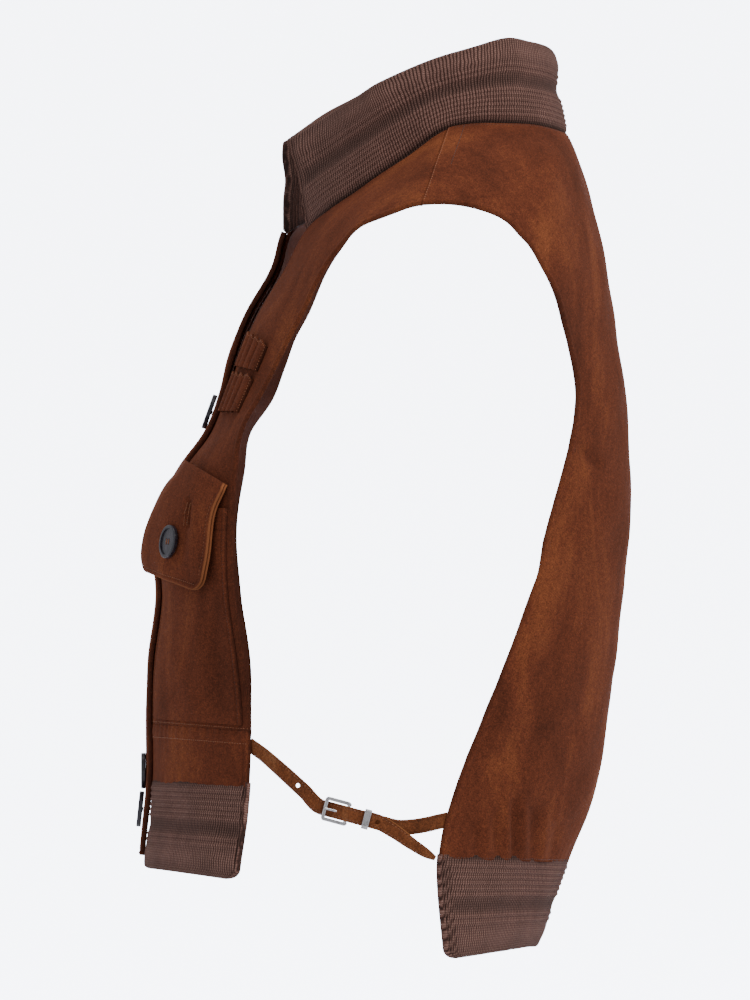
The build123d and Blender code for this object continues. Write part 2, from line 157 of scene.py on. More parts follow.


# Ribbed knit: fine upright wales of small V stitches, with painted shade between the wales and a painted
# highlight on their crests.
def knitMaterial(name, look):
    material, tree, shader = startMaterial(name)
    flat = addNode(tree, "UVMap", uv_map="flat").outputs["UV"]
    sides = addNode(tree, "SeparateXYZ", {"Vector": flat})
    place = addNode(tree, "TexCoord").outputs["Object"]
    wobble = noise(tree, {"Vector": place, "Scale": 150, "Detail": 2})
    aside = reckon(tree, "MULTIPLY_ADD", wobble, 2.2, sides.outputs["X"])
    within = reckon(tree, "FRACT", reckon(tree, "DIVIDE", aside, look["wale"]))
    fromMiddle = reckon(tree, "ABSOLUTE", reckon(tree, "SUBTRACT", within, 0.5))
    crest = addNode(
        tree, "MapRange", {
            "Value": fromMiddle, "From Min": 0.5, "From Max": 0.12, "To Min": 0.0, "To Max": 1.0
        },
        interpolation_type="SMOOTHSTEP",
    ).outputs["Result"]
    course = reckon(tree, "DIVIDE", sides.outputs["Y"], look["course"])
    slanted = reckon(tree, "MULTIPLY_ADD", fromMiddle, 1.3, course)
    wave = reckon(tree, "SINE", reckon(tree, "MULTIPLY", slanted, 2 * math.pi))
    height = reckon(tree, "MULTIPLY", crest, reckon(tree, "MULTIPLY_ADD", wave, 0.28, 0.72))
    uneven = noise(tree, {"Vector": place, "Scale": 45, "Detail": 5, "Roughness": 0.65})
    fuzz = noise(tree, {"Vector": place, "Scale": 3200, "Detail": 2, "Roughness": 0.6})
    reliefAndPaintedShade = addNode(
        tree, "Mix", {"Factor": 0.22, "A": height, "B": fuzz}
    ).outputs["Result"]
    # Painted shade and highlight: the colour runs from dark in the low parts between the wales to pale on
    # their raised crests.
    tone = ramp(tree, reliefAndPaintedShade, (0.08, look["dark"]), (0.4, look["main"]), (0.85, look["light"]))
    soft = ramp(tree, uneven, (0.3, 0.82), (0.7, 1.12))
    yarnAndPaintedShade = multiplied(tree, tone, soft)
    # Painted shade: the colour is darkened in the grooves between the cross ridges.
    paintedShade = addNode(tree, "Attribute", attribute_name="paintedShade").outputs["Fac"]
    shaded = ramp(tree, paintedShade, (0.0, 1.1), (1.0, 0.35))
    final = multiplied(tree, yarnAndPaintedShade, shaded)
    bump = addNode(tree, "Bump", {"Height": reliefAndPaintedShade, "Strength": 0.8, "Distance": 0.0009}).outputs["Normal"]
    surfaced(tree, shader, final, bump)
    shader.inputs["Roughness"].default_value = 0.88
    shader.inputs["Specular IOR Level"].default_value = 0.2
    shader.inputs["Sheen Weight"].default_value = 0.25
    shader.inputs["Sheen Tint"].default_value = linear(look["light"])
    return material


# Plain-woven lining: crossing fine threads with a low, silky gloss, and large soft patches of painted
# crease shade and highlight in its colour.
def liningMaterial(name, look):
    material, tree, shader = startMaterial(name)
    flat = addNode(tree, "UVMap", uv_map="flat").outputs["UV"]
    warp = addNode(
        tree, "TexWave", {"Vector": flat, "Scale": 0.9, "Distortion": 0.6, "Detail": 1}, bands_direction="X"
    )
    weft = addNode(
        tree, "TexWave", {"Vector": flat, "Scale": 0.75, "Distortion": 0.6, "Detail": 1},
        bands_direction="Y",
    )
    weave = addNode(
        tree, "Mix", {"Factor": 0.5, "A": warp.outputs["Fac"], "B": weft.outputs["Fac"]}
    ).outputs["Result"]
    place = addNode(tree, "TexCoord").outputs["Object"]
    # Painted shade and highlight of creases: this noise darkens and lightens the colour and also drives the
    # bump.
    creaseShadeAndRelief = noise(tree, {"Vector": place, "Scale": 28, "Detail": 4, "Roughness": 0.6})
    mixed = addNode(tree, "Mix", {"Factor": 0.6, "A": weave, "B": creaseShadeAndRelief}).outputs["Result"]
    tone = ramp(tree, mixed, (0.25, look["dark"]), (0.5, look["main"]), (0.8, look["light"]))
    bump = addNode(tree, "Bump", {"Height": mixed, "Strength": 0.35, "Distance": 0.0004}).outputs["Normal"]
    surfaced(tree, shader, tone, bump)
    shader.inputs["Roughness"].default_value = 0.75
    shader.inputs["Specular IOR Level"].default_value = 0.12
    return material


# Sewing thread: two twisted strands with a slight lustre.
def threadMaterial(name, look):
    material, tree, shader = startMaterial(name)
    place = addNode(tree, "TexCoord").outputs["Object"]
    twist = addNode(
        tree, "TexWave", {"Vector": place, "Scale": 1500, "Distortion": 1.5, "Detail": 1},
        bands_direction="DIAGONAL",
    )
    tone = ramp(tree, twist.outputs["Fac"], (0.2, look["dark"]), (0.8, look["light"]))
    bump = addNode(
        tree, "Bump", {"Height": twist.outputs["Fac"], "Strength": 0.4, "Distance": 0.0002}
    ).outputs["Normal"]
    surfaced(tree, shader, tone, bump)
    shader.inputs["Roughness"].default_value = 0.6
    shader.inputs["Sheen Weight"].default_value = 0.2
    return material


# Dark moulded horn: cloudy streaks under a polished, slightly scratched face.
def hornMaterial(name, look):
    material, tree, shader = startMaterial(name)
    place = addNode(tree, "TexCoord").outputs["Object"]
    streak = addNode(tree, "Mapping", {"Vector": place, "Scale": (1, 1, 0.3)}).outputs["Vector"]
    cloud = noise(tree, {"Vector": streak, "Scale": 190, "Detail": 5, "Roughness": 0.6, "Distortion": 1.2})
    scratch = noise(tree, {"Vector": place, "Scale": 900, "Detail": 3, "Roughness": 0.7})
    tone = ramp(tree, cloud, (0.35, look["dark"]), (0.55, look["main"]), (0.75, look["light"]))
    gloss = ramp(tree, scratch, (0.3, 0.24), (0.7, 0.42))
    bump = addNode(
        tree, "Bump", {"Height": scratch, "Strength": 0.15, "Distance": 0.0002}
    ).outputs["Normal"]
    surfaced(tree, shader, tone, bump, gloss)
    shader.inputs["Coat Weight"].default_value = 0.3
    return material


# Bright nickel plate with hairline scratches and faint dull patches.
def nickelMaterial(name, look):
    material, tree, shader = startMaterial(name)
    place = addNode(tree, "TexCoord").outputs["Object"]
    hairline = addNode(tree, "Mapping", {"Vector": place, "Scale": (1, 0.2, 1)}).outputs["Vector"]
    scratch = noise(tree, {"Vector": hairline, "Scale": 2400, "Detail": 4, "Roughness": 0.7})
    dull = noise(tree, {"Vector": place, "Scale": 260, "Detail": 4})
    tone = ramp(tree, dull, (0.3, look["dark"]), (0.55, look["main"]))
    gloss = ramp(tree, dull, (0.3, 0.2), (0.7, 0.08))
    bump = addNode(
        tree, "Bump", {"Height": scratch, "Strength": 0.12, "Distance": 0.0001}
    ).outputs["Normal"]
    surfaced(tree, shader, tone, bump, gloss)
    shader.inputs["Metallic"].default_value = 1.0
    return material


suedeLook = {
    "dark": "#4C2414", "main": "#6A3520", "light": "#8A4C2C", "edge": "#A8653E", "patchScale": 19,
    "sheen": 0.35,
}
strapLook = {
    "dark": "#57301B", "main": "#784326", "light": "#935F3C", "edge": "#A96E40", "patchScale": 60,
    "sheen": 0.3,
}
suedeSkin = suedeMaterial("brownSuede", suedeLook)
strapSkin = suedeMaterial("strapSuede", strapLook)
ribKnit = knitMaterial(
    "taupeRibKnit", {"dark": "#2E1E19", "main": "#69473E", "light": "#987468", "wale": 1.9, "course": 1.5}
)
liningCloth = liningMaterial("woodroseLining", {"dark": "#54291C", "main": "#74422F", "light": "#8C5743"})
seamThread = threadMaterial("rustThread", {"dark": "#6E3A1E", "light": "#B06A3C"})
darkThread = threadMaterial("darkThread", {"dark": "#2E1710", "light": "#5A3020"})
buttonHorn = hornMaterial("darkHorn", {"dark": "#17141A", "main": "#2B2630", "light": "#5A5058"})
brightNickel = nickelMaterial("brightNickel", {"dark": "#A5A1A1", "main": "#DAD7D7"})
print("stage: materials made")


shoulderRow = (8, 33, 71, -9, -14.5, 150)
frontEnd = [
    (-182, -348, 8, -120, -353, 130), (-182, -384, 8, -121, -387, 133), (-188, -440, 8, -129, -448, 133)
]
leftRows = [
    shoulderRow,
    (-19, 15, 69, -28, -20, 148),
    (-45, -3, 60, -50, -29, 138),
    (-68, -19, 44, -63, -44, 124),
    (-83, -32, 20, -74, -61, 115),
    (-97, -58, 17, -85, -84, 108),
    (-113, -84, 15, -95, -102, 104),
    (-125, -112, 13, -104, -119, 101),
    (-134, -136, 12, -114, -138, 100),
    (-144, -161, 8, -125, -161, 103),
    (-162, -186, 8, -129, -186, 110),
    (-178, -223, 8, -131, -221, 118),
    (-176, -269, 8, -130, -269, 122),
    (-181, -307, 8, -124, -308, 126),
    *frontEnd,
]
rightRows = [
    shoulderRow,
    (-19, 15, 69, -28, -20, 148),
    (-46, -3, 60, -50, -29, 138),
    (-73, -20, 40, -62, -44, 124),
    (-94, -32, 10, -72, -61, 115),
    (-102, -57, 8, -82, -84, 108),
    (-117, -84, 8, -92, -102, 104),
    (-129, -112, 8, -98, -119, 101),
    (-135, -136, 8, -105, -138, 100),
    (-144, -161, 8, -120, -161, 103),
    (-162, -186, 8, -124, -186, 110),
    (-178, -223, 8, -129, -221, 118),
    (-176, -269, 8, -126, -269, 122),
    (-181, -307, 8, -120, -308, 126),
    *frontEnd,
]
backRows = [
    shoulderRow,
    (25, 36, 69, 8, -14, 151),
    (45, 36, 61, 28, -18, 150),
    (65, 35, 45, 45, -26, 148),
    (78, 32, 24, 54, -35, 146),
    (84, 29, 0, 61, -42, 142),
    (93, 8, 0, 74, -65, 132),
    (107, -42, 0, 83, -93, 116),
    (114, -86, 0, 88, -116, 103),
    (122, -141, 0, 91, -141, 98),
    (124, -175, 0, 85, -177, 106),
    (125, -205, 0, 77, -205, 113),
    (121, -256, 0, 64, -255, 124),
    (116, -298, 0, 50, -296, 131),
    (109, -352, 0, 28, -352, 139),
    (102, -391, 0, 13, -391, 141),
    (85, -435, 0, 3, -433, 141),
    (64, -491, 0, 8, -499, 139),
]
flapRows = [
    (-161, -179, 30, -136, -194, 111, 7.5),
    (-180, -208, 30, -144, -213, 113, 7.0),
    (-189, -238, 30, -149, -247, 115, 5.0),
    (-188, -250, 30, -153, -264, 113, 4.5),
]


# Values at places on a smooth curve through the values at the known places.
def smooth(values, at, places):
    values, at, places = np.asarray(values, float), np.asarray(at, float), np.asarray(places, float)
    gaps = np.diff(at)
    slopes = np.diff(values, axis=0) / gaps[:, None]
    lean = np.empty_like(values)
    lean[1:-1] = (
        slopes[:-1] * gaps[1:, None] + slopes[1:] * gaps[:-1, None]
    ) / (gaps[1:] + gaps[:-1])[:, None]
    lean[0], lean[-1] = slopes[0], slopes[-1]
    step = np.clip(np.searchsorted(at, places, side="right") - 1, 0, len(gaps) - 1)
    wide = gaps[step][:, None]
    part = ((places - at[step]) / gaps[step])[:, None]
    return (
        (2 * part**3 - 3 * part**2 + 1) * values[step]
        + (part**3 - 2 * part**2 + part) * wide * lean[step]
        + (3 * part**2 - 2 * part**3) * values[step + 1]
        + (part**3 - part**2) * wide * lean[step + 1]
    )


def lengthsOf(points):
    return np.concatenate([[0], np.cumsum(np.linalg.norm(np.diff(points, axis=0), axis=1))])


def rowPlaces(rows):
    rows = np.array(rows, float)
    return lengthsOf(np.stack([(rows[:, k] + rows[:, k + 3]) / 2 for k in (0, 1, 2)], 1))


# Row values at places down the rows; front and back run on into each other over the shoulder.
def valuesAt(rows, downs):
    if len(rows[0]) == 7:
        return smooth(rows, rowPlaces(rows), downs)
    lead = leftRows[1] if rows is backRows else backRows[1]
    whole = [lead, *rows]
    at = rowPlaces(whole)
    return smooth(whole, at - at[1], downs)


# Places along a length, closer together near both ends.
def spaced(length, step, near=(0, 0.5, 1.1, 1.8, 2.6, 3.5, 4.5, 5.5, 6.6, 8)):
    near = np.array(near, float)
    inner = max(int((length - 2 * near[-1]) / step), 2)

    def placed(whole):
        ends = near * min(1, whole / (2 * near[-1] + 4))
        between = np.linspace(ends[-1], whole - ends[-1], inner + 1)[1:-1]
        return np.concatenate([ends, between, whole - ends[::-1]])

    return placed


# Points in millimetres on the arcs of rows, at places down them and from start to stop across them.
def arcGrid(rows, downs, starts, stops, step, right):
    values = valuesAt(rows, downs)
    values[:, 2] = np.maximum(values[:, 2], 0)
    yIn, zIn, xIn, yOut, zOut, xOut = values[:, :6].T
    depth = np.hypot(yOut - yIn, zOut - zIn)
    if values.shape[1] == 7:
        wide, bulge = xOut - xIn, values[:, 6]
        chord = np.hypot(wide, depth)
        radius = (chord**2 / 4 + bulge**2) / (2 * bulge)
        reach = (radius - bulge) / chord
        midX, midY = (xIn + xOut) / 2 - depth * reach, depth / 2 + wide * reach
    else:
        midX, midY = 0 * depth, (xOut**2 + depth**2 - xIn**2) / (2 * depth)
        radius = np.hypot(xIn, midY)
    begin = np.arcsin(np.clip((starts(values) - midX) / radius, -1, 1))
    end = np.arcsin(np.clip((stops(values) - midX) / radius, -1, 1))
    widths = radius * (end - begin)
    columns = spaced(widths.max(), step)
    across = np.stack([columns(width) for width in widths])
    turn = begin[:, None] + across / radius[:, None]
    x = midX[:, None] + radius[:, None] * np.sin(turn)
    share = (midY[:, None] - radius[:, None] * np.cos(turn)) / depth[:, None]
    y = yIn[:, None] + share * (yOut - yIn)[:, None]
    z = zIn[:, None] + share * (zOut - zIn)[:, None]
    ahead = np.stack([0 * depth, yOut - yIn, zOut - zIn], 1) / depth[:, None]
    out = np.sin(turn)[..., None] * np.array([1.0, 0, 0]) - np.cos(turn)[..., None] * ahead[:, None, :]
    points = np.stack([x, y, z], -1)
    if right:
        points[..., 0] *= -1
        out[..., 0] *= -1
    return points, out, across


def normalsOf(points, out):
    normals = np.cross(np.gradient(points, axis=1), np.gradient(points, axis=0))
    normals /= np.maximum(np.linalg.norm(normals, axis=-1, keepdims=True), 1e-9)
    normals *= np.sign((normals * out).sum(-1, keepdims=True).mean())
    middle = np.abs(points[..., 0]) < 1e-4
    normals[..., 0] = np.where(middle, 0, normals[..., 0])
    return normals / np.maximum(np.linalg.norm(normals, axis=-1, keepdims=True), 1e-9)


# Smooth unevenness between about -1 and 1, with lumps of one size.
def ripple(points, size, seed):
    chance = np.random.default_rng(seed)
    total = 0
    for turn in range(7):
        way = chance.normal(size=3)
        way /= np.linalg.norm(way)
        total = total + np.sin(
            points @ way * (2 * np.pi / size) * chance.uniform(0.6, 1.5) + chance.uniform(0, 2 * np.pi)
        )
    return total / 3.5


# Height of soft folds; each runs from (y, z) to (y, z) in the side view and has a width and a height.
def foldHeight(points, folds):
    total = np.zeros(points.shape[:-1])
    for y0, z0, y1, z1, wide, high in folds:
        run = np.array([y1 - y0, z1 - z0], float)
        long = np.hypot(*run)
        y, z = points[..., 1] - y0, points[..., 2] - z0
        along = (y * run[0] + z * run[1]) / long**2
        aside = (y * run[1] - z * run[0]) / long
        inside = np.clip(1 - (2 * np.clip(along, 0, 1) - 1) ** 4, 0, 1)
        total += high * np.exp(-((aside / wide) ** 2)) * inside
    return total


# Height of a turned and stitched edge, by the distance from it.
def turnedEdge(away, stitch=6.0, deep=0.45):
    roll = -0.8 * np.exp(-((away / 0.8) ** 2))
    groove = -deep * np.exp(-(((away - stitch) / 0.8) ** 2))
    puff = 0.25 * np.exp(-(((away - stitch / 2) / 1.6) ** 2))
    return roll + groove + puff


# A smooth-shaded object in metres from points in millimetres.
def meshFrom(name, vertices, faces, material, flat=None, marks=None):
    mesh = bpy.data.meshes.new(name)
    mesh.from_pydata((np.asarray(vertices) / 1000).tolist(), [], faces)
    mesh.validate()
    mesh.update()
    if flat is not None:
        layer = mesh.uv_layers.new(name="flat")
        corner = np.empty(len(mesh.loops), np.int32)
        mesh.loops.foreach_get("vertex_index", corner)
        layer.data.foreach_set("uv", np.asarray(flat)[corner].astype(np.float32).ravel())
    for mark, values in (marks or {}).items():
        layer = mesh.attributes.new(mark, "FLOAT", "POINT")
        layer.data.foreach_set("value", np.asarray(values, np.float32).ravel())
    mesh.polygons.foreach_set("use_smooth", [True] * len(mesh.polygons))
    mesh.materials.append(material)
    made = bpy.data.objects.new(name, mesh)
    bpy.context.scene.collection.objects.link(made)
    return made


# Turns all faces outwards and merges doubled points.
def outwards(made):
    bpy.ops.object.select_all(action="DESELECT")
    made.select_set(True)
    bpy.context.view_layer.objects.active = made
    bpy.ops.object.mode_set(mode="EDIT")
    bpy.ops.mesh.select_all(action="SELECT")
    bpy.ops.mesh.remove_doubles(threshold=0.00001)
    bpy.ops.mesh.normals_make_consistent(inside=False)
    bpy.ops.object.mode_set(mode="OBJECT")
    made.select_set(False)
    return made


# A closed sheet between two offsets of a grid, with a rounded rim along its long sides.
def shell(name, base, normals, top, under, material, flat, edge, paintedShade):
    count, wide = base.shape[:2]
    upper = base + normals * top[..., None]
    lower = base + normals * under[..., None]
    halfway = (upper + lower) / 2
    half = np.abs(top - under)[..., None] / 2
    firstOut = halfway[:, 0] - halfway[:, 1]
    lastOut = halfway[:, -1] - halfway[:, -2]
    firstOut /= np.maximum(np.linalg.norm(firstOut, axis=-1, keepdims=True), 1e-9)
    lastOut /= np.maximum(np.linalg.norm(lastOut, axis=-1, keepdims=True), 1e-9)
    firstRim = halfway[:, 0] + firstOut * half[:, 0] * (np.abs(base[:, :1, 0]) > 0.001)
    lastRim = halfway[:, -1] + lastOut * half[:, -1]
    rings = np.concatenate([upper, lastRim[:, None], lower[:, ::-1], firstRim[:, None]], axis=1)
    around = rings.shape[1]

    def ringed(values):
        return np.concatenate([values, values[:, -1:], values[:, ::-1], values[:, :1]], axis=1)

    flatAll = ringed(flat).reshape(-1, 2)
    marks = {"edge": ringed(edge).ravel(), "paintedShade": ringed(paintedShade).ravel()}
    index = np.arange(count * around).reshape(count, around)
    nextOne = np.roll(index, -1, axis=1)
    sides = np.stack([index[:-1], index[1:], nextOne[1:], nextOne[:-1]], -1).reshape(-1, 4)
    faces = sides.tolist()
    for ring, flip in ((index[0], 1), (index[-1], -1)):
        for j in range(wide - 1):
            faces.append([int(ring[k]) for k in (j, j + 1, 2 * wide - j - 1, 2 * wide - j)][::flip])
        faces.append([int(ring[k]) for k in (wide - 1, wide, wide + 1)][::flip])
        faces.append([int(ring[k]) for k in (0, 2 * wide, 2 * wide + 1)][::flip])
    return outwards(meshFrom(name, rings.reshape(-1, 3), faces, material, flatAll, marks))


def areaOf(points):
    across = np.diff(points, axis=1)[:-1]
    down = np.diff(points, axis=0)[:, :-1]
    return float(np.linalg.norm(np.cross(across, down), axis=-1).sum()) / 1e6


# Facts of a made panel: greatest width and length with 2 mm added, and area.
def rest(panel):
    wide = float(panel["across"].max()) / 1000
    long = float(panel["downs"][-1] - panel["downs"][0]) / 1000
    grown = max(1.0, panel["area"] / (wide * long))
    return (wide * grown**0.5 + 0.002, long * grown**0.5 + 0.002), panel["area"]


# Distances in millimetres from a panel's four edges, for its relief.
def shapeOf(base, across, downs, first, last):
    return {
        "points": base,
        "in": across,
        "out": across[:, -1:] - across,
        "top": (downs - first)[:, None] + 0 * across,
        "end": (last - downs)[:, None] + 0 * across,
    }


# A sheet that lies on rows; look gives its extent, thickness, relief and folds.
def panelOn(name, rows, look, material, right=False):
    at = rowPlaces(rows)
    first, last = (np.interp(place, np.arange(len(rows)), at) for place in look["rows"])
    downs = first + spaced(last - first, look.get("step", 1.8))(last - first)
    starts = look.get("start", lambda values: values[:, 2])
    stops = look.get("stop", lambda values: values[:, 5])
    base, out, across = arcGrid(rows, downs, starts, stops, look.get("stepAcross", 2.2), right)
    normals = normalsOf(base, out)
    if "wavy" in look:
        down = np.gradient(base, axis=0)
        down /= np.linalg.norm(down, axis=-1, keepdims=True)
        wave = look["wavy"](shapeOf(base, across, downs, first, last))
        base = base + down * wave[..., None]
    relief = look.get("off", 0) + foldHeight(base, look.get("folds", ()))
    relief = relief + look.get("uneven", 0.35) * ripple(base, 38, look.get("seed", 1))
    shape = shapeOf(base, across, downs, first, last)
    detail = look["relief"](shape) if "relief" in look else 0 * across
    top = relief + detail
    thick = look["thick"](shape) if callable(look["thick"]) else look["thick"] + 0 * across
    edge = (
        np.minimum.reduce([shape[k] for k in look.get("cut", ("in", "out"))]) / 10
        + 0.1 * (1 - look.get("worn", 0.1))
    )
    # Painted shade: darker where the relief sinks and in fold hollows, less on fold crests.
    paintedShade = np.clip(-detail / 0.9, 0, 1) if "paintedShade" not in look else look["paintedShade"](shape)
    paintedShade = np.clip(paintedShade - foldHeight(base, look.get("folds", ())) * 0.11, 0, 1)
    flat = np.stack([across, downs[:, None] + 0 * across], -1)
    made = shell(name, base, normals, top, top - thick, material, flat, np.clip(edge, 0, 1), paintedShade)
    return {
        "object": made, "points": base + normals * top[..., None], "normals": normals,
        "across": across, "downs": downs, "area": areaOf(base),
    }


# Points and normals of a panel's outer face at distances down and across it.
def onPanel(panel, downs, acrosses):
    found, normals = [], []
    grid, facing = panel["points"], panel["normals"]
    for down, across in zip(downs, acrosses):
        i = np.interp(down, panel["downs"] - panel["downs"][0], np.arange(len(panel["downs"])))
        row = min(int(i), len(grid) - 2)
        places = panel["across"][row] * (1 - (i - row)) + panel["across"][row + 1] * (i - row)
        j = np.interp(across, places, np.arange(len(places)))
        column = min(int(j), grid.shape[1] - 2)
        low, beside = i - row, j - column
        weights = [(1 - low) * (1 - beside), low * (1 - beside), (1 - low) * beside, low * beside]
        spots = [(row, column), (row + 1, column), (row, column + 1), (row + 1, column + 1)]
        found.append(sum(w * grid[s] for w, s in zip(weights, spots)))
        normals.append(sum(w * facing[s] for w, s in zip(weights, spots)))
    return np.array(found), np.array(normals)


# Distances down and across a panel for points (y, z) of the side view.
def sideSpots(panel, spots):
    side = panel["points"][..., 1:]
    found = []
    for spot in spots:
        away = ((side - np.array(spot)) ** 2).sum(-1)
        row, column = np.unravel_index(away.argmin(), away.shape)
        found.append((panel["downs"][row] - panel["downs"][0], panel["across"][row, column]))
    return np.array(found).T


bpy.ops.mesh.primitive_uv_sphere_add(segments=8, ring_count=6, radius=0.5, location=(0, 0, 0))
stitchModel = bpy.context.active_object
stitchShape = np.array([tuple(vertex.co) for vertex in stitchModel.data.vertices])
stitchFaces = [list(face.vertices) for face in stitchModel.data.polygons]
bpy.data.objects.remove(stitchModel, do_unlink=True)


# Places of stitches along a line: each is (middle, way, normal, length, thickness).
def stitchesAlong(points, normals, pitch=2.3, long=1.75, thick=0.42, turn=0.0, sink=0.05):
    at = lengthsOf(points)
    middles = np.arange(pitch / 2, at[-1], pitch)
    found = []
    for place in middles:
        spot, ahead, behind = (
            np.array(
                [np.interp(place + shift, at, points[:, k]) for k in range(3)]
            ) for shift in (0, 0.8, -0.8)
        )
        normal = np.array([np.interp(place, at, normals[:, k]) for k in range(3)])
        normal /= np.linalg.norm(normal)
        way = ahead - behind
        way -= normal * (way @ normal)
        way /= np.linalg.norm(way)
        if turn:
            aside = np.cross(normal, way)
            way = way * math.cos(turn) + aside * math.sin(turn)
        found.append((spot - normal * sink, way, normal, long, thick))
    return found


# One mesh of copies of the one stitch.
def stitching(name, places, material=None):
    vertices, faces = [], []
    for middle, way, normal, long, thick in places:
        aside = np.cross(normal, way)
        start = len(vertices) * len(stitchShape)
        frameOf = np.stack([way * long, aside * thick, normal * thick])
        vertices.append(stitchShape @ frameOf + middle)
        faces += [[corner + start for corner in face] for face in stitchFaces]
    return meshFrom(name, np.concatenate(vertices), faces, material or seamThread)


def seam(panel, downs, acrosses, **how):
    return stitchesAlong(*onPanel(panel, downs, acrosses), **how)


# Widths of a panel at distances down it.
def widthsAt(panel, downs):
    return np.interp(downs, panel["downs"] - panel["downs"][0], panel["across"][:, -1])


sideNames = (("left", leftRows, False), ("right", rightRows, True))


def settle(made, body="root", nodes=()):
    if body:
        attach(made, body)
    if nodes:
        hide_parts(*nodes)
    return made


frontLook = {
    "rows": (0, 14),
    "thick": 1.4,
    "uneven": 0.3,
    "folds": [
        (-141, -270, -136, -345, 7, -1.6),
        (-150, -260, -147, -330, 8, 1.2),
        (-60, -38, -118, -122, 9, 0.9),
        (-84, -62, -120, -150, 6, -0.8),
        (-168, -300, -150, -346, 6, 0.8),
    ],
    "relief": lambda shape: turnedEdge(shape["out"], 5, 0.15)
    + turnedEdge(shape["in"], 6, 0.2) * (shape["top"] < 150)
    - 0.5 * np.exp(-((shape["top"] / 1.2) ** 2))
    + 0.25 * np.sin(shape["in"] / 1.35 + 2 * np.sin(shape["in"] / 9)) * np.exp(-shape["end"] / 9),
    # Painted shade: along the stitch groove, along the hem seam, along the armhole edge, and in a broad
    # band near the armhole low on the front.
    "paintedShade": lambda shape: 0.15 * np.exp(-(((shape["out"] - 5) / 0.8) ** 2))
    + 0.4 * np.exp(-((shape["end"] / 1.5) ** 2))
    + 0.35 * np.exp(-((shape["out"] / 1.2) ** 2))
    + 0.22 / (1 + np.exp((shape["out"] - 12) / 3)) * (shape["top"] > 190),
}
bandLook = {
    "rows": (14.0, 15.03),
    "thick": 1.4,
    "uneven": 0.3,
    "stepAcross": 1.4,
    "relief": lambda shape: turnedEdge(shape["out"], 4)
    + 0.15 * np.sin(shape["in"] / 1.5) * np.exp(-shape["end"] / 6)
    + 0.4 * np.sin(shape["in"] / 1.35 + 2 * np.sin(shape["in"] / 9)) * np.exp(-shape["top"] / 7)
    + 0.5 * np.exp(-(((shape["top"] - 5) / 3) ** 2)),
}
fronts = {}
for side, rows, right in sideNames:
    name = "front" + side.capitalize()
    front = panelOn(name, rows, {**frontLook, "seed": 3 + right}, suedeSkin, right)
    settle(front["object"], "root", [f"front_panel_{side}"])
    flat, area = rest(front)
    fronts[side] = front
    liningLook = {
        "rows": (0.02, 13.95),
        "thick": 0.5,
        "off": -1.75,
        "uneven": 0.3,
        "seed": 3 + right,
        "step": 3,
        "stepAcross": 3,
        "folds": frontLook["folds"],
        "start": lambda values: np.maximum(values[:, 2] + 2, 19.5),
        "stop": lambda values: values[:, 5] - 0.8,
    }
    inner = panelOn("liningFront" + side.capitalize(), rows, liningLook, liningCloth, right)
    settle(inner["object"], "root", [f"front_lining_{side}"])
    flat, area = rest(inner)
    band = panelOn("waistband" + side.capitalize(), rows, {**bandLook, "seed": 3 + right}, suedeSkin, right)
    settle(band["object"], "root", [f"waistband_{side}"])
    flat, area = rest(band)
    long = front["downs"][-1] - front["downs"][0]
    edgeAt = np.linspace(1, front["across"][-1, -1] - 1, 100)
    lines = seam(front, np.full(100, long - 1.6), edgeAt, thick=0.45)
    lines += seam(band, np.full(100, 8.2), edgeAt, thick=0.45)
    settle(stitching("waistStitches" + side.capitalize(), lines))
    nearArm = np.linspace(18, long - 2, 160)
    widthAt = widthsAt(front, nearArm)
    lines = seam(front, nearArm, widthAt - 4.6, thick=0.3, sink=0.15)
    settle(stitching("frontStitches" + side.capitalize(), lines, darkThread))
print("stage: fronts made")


backLook = {
    "thick": 1.4,
    "uneven": 0.45,
    "seed": 8,
    "folds": [
        (80, -235, 28, -372, 17, 3.6),
        (66, -255, 18, -372, 10, -2.4),
        (104, -250, 56, -400, 15, 2.0),
        (90, -170, 106, -184, 3.2, -1.8),
        (50, -394, 51, -437, 2.8, -2.6),
        (45, -390, 46, -437, 2.6, 1.8),
        (56, -392, 56, -437, 2.6, 1.8),
        (38, -402, 40, -437, 2.8, -1.8),
        (32, -404, 34, -437, 2.6, 1.3),
        (25, -410, 27, -437, 2.6, -1.2),
        (63, -400, 62, -437, 2.8, -1.9),
        (70, -402, 68, -437, 2.8, 1.4),
        (78, -410, 74, -437, 2.8, -1.3),
        (20, 26, 60, -60, 14, 0.9),
        (84, 6, 98, -60, 9, -0.9),
    ],
    "relief": lambda shape: turnedEdge(shape["out"], 5, 0.15)
    + 0.5 * np.exp(-shape["top"] / 2.5)
    + 0.2 * np.sin(
        shape["points"][..., 0] / 1.5 + 2 * np.sin(shape["points"][..., 0] / 9)
    ) * np.exp(-shape["end"] / 10),
    # Painted shade: along the stitch groove, along the hem seam and along the armhole edge.
    "paintedShade": lambda shape: 0.15 * np.exp(-(((shape["out"] - 5) / 0.8) ** 2))
    + 0.4 * np.exp(-((shape["end"] / 1.5) ** 2))
    + 0.35 * np.exp(-((shape["out"] / 1.2) ** 2)),
}
backHalves = []
for right in (False, True):
    half = panelOn("backHalf", backRows, {**backLook, "rows": (0, 16.03)}, suedeSkin, right)
    backHalves.append(half)


def joined(name, parts):
    bpy.ops.object.select_all(action="DESELECT")
    for part in parts:
        part.select_set(True)
    bpy.context.view_layer.objects.active = parts[0]
    bpy.ops.object.join()
    parts[0].name = name
    parts[0].data.name = name
    return parts[0]


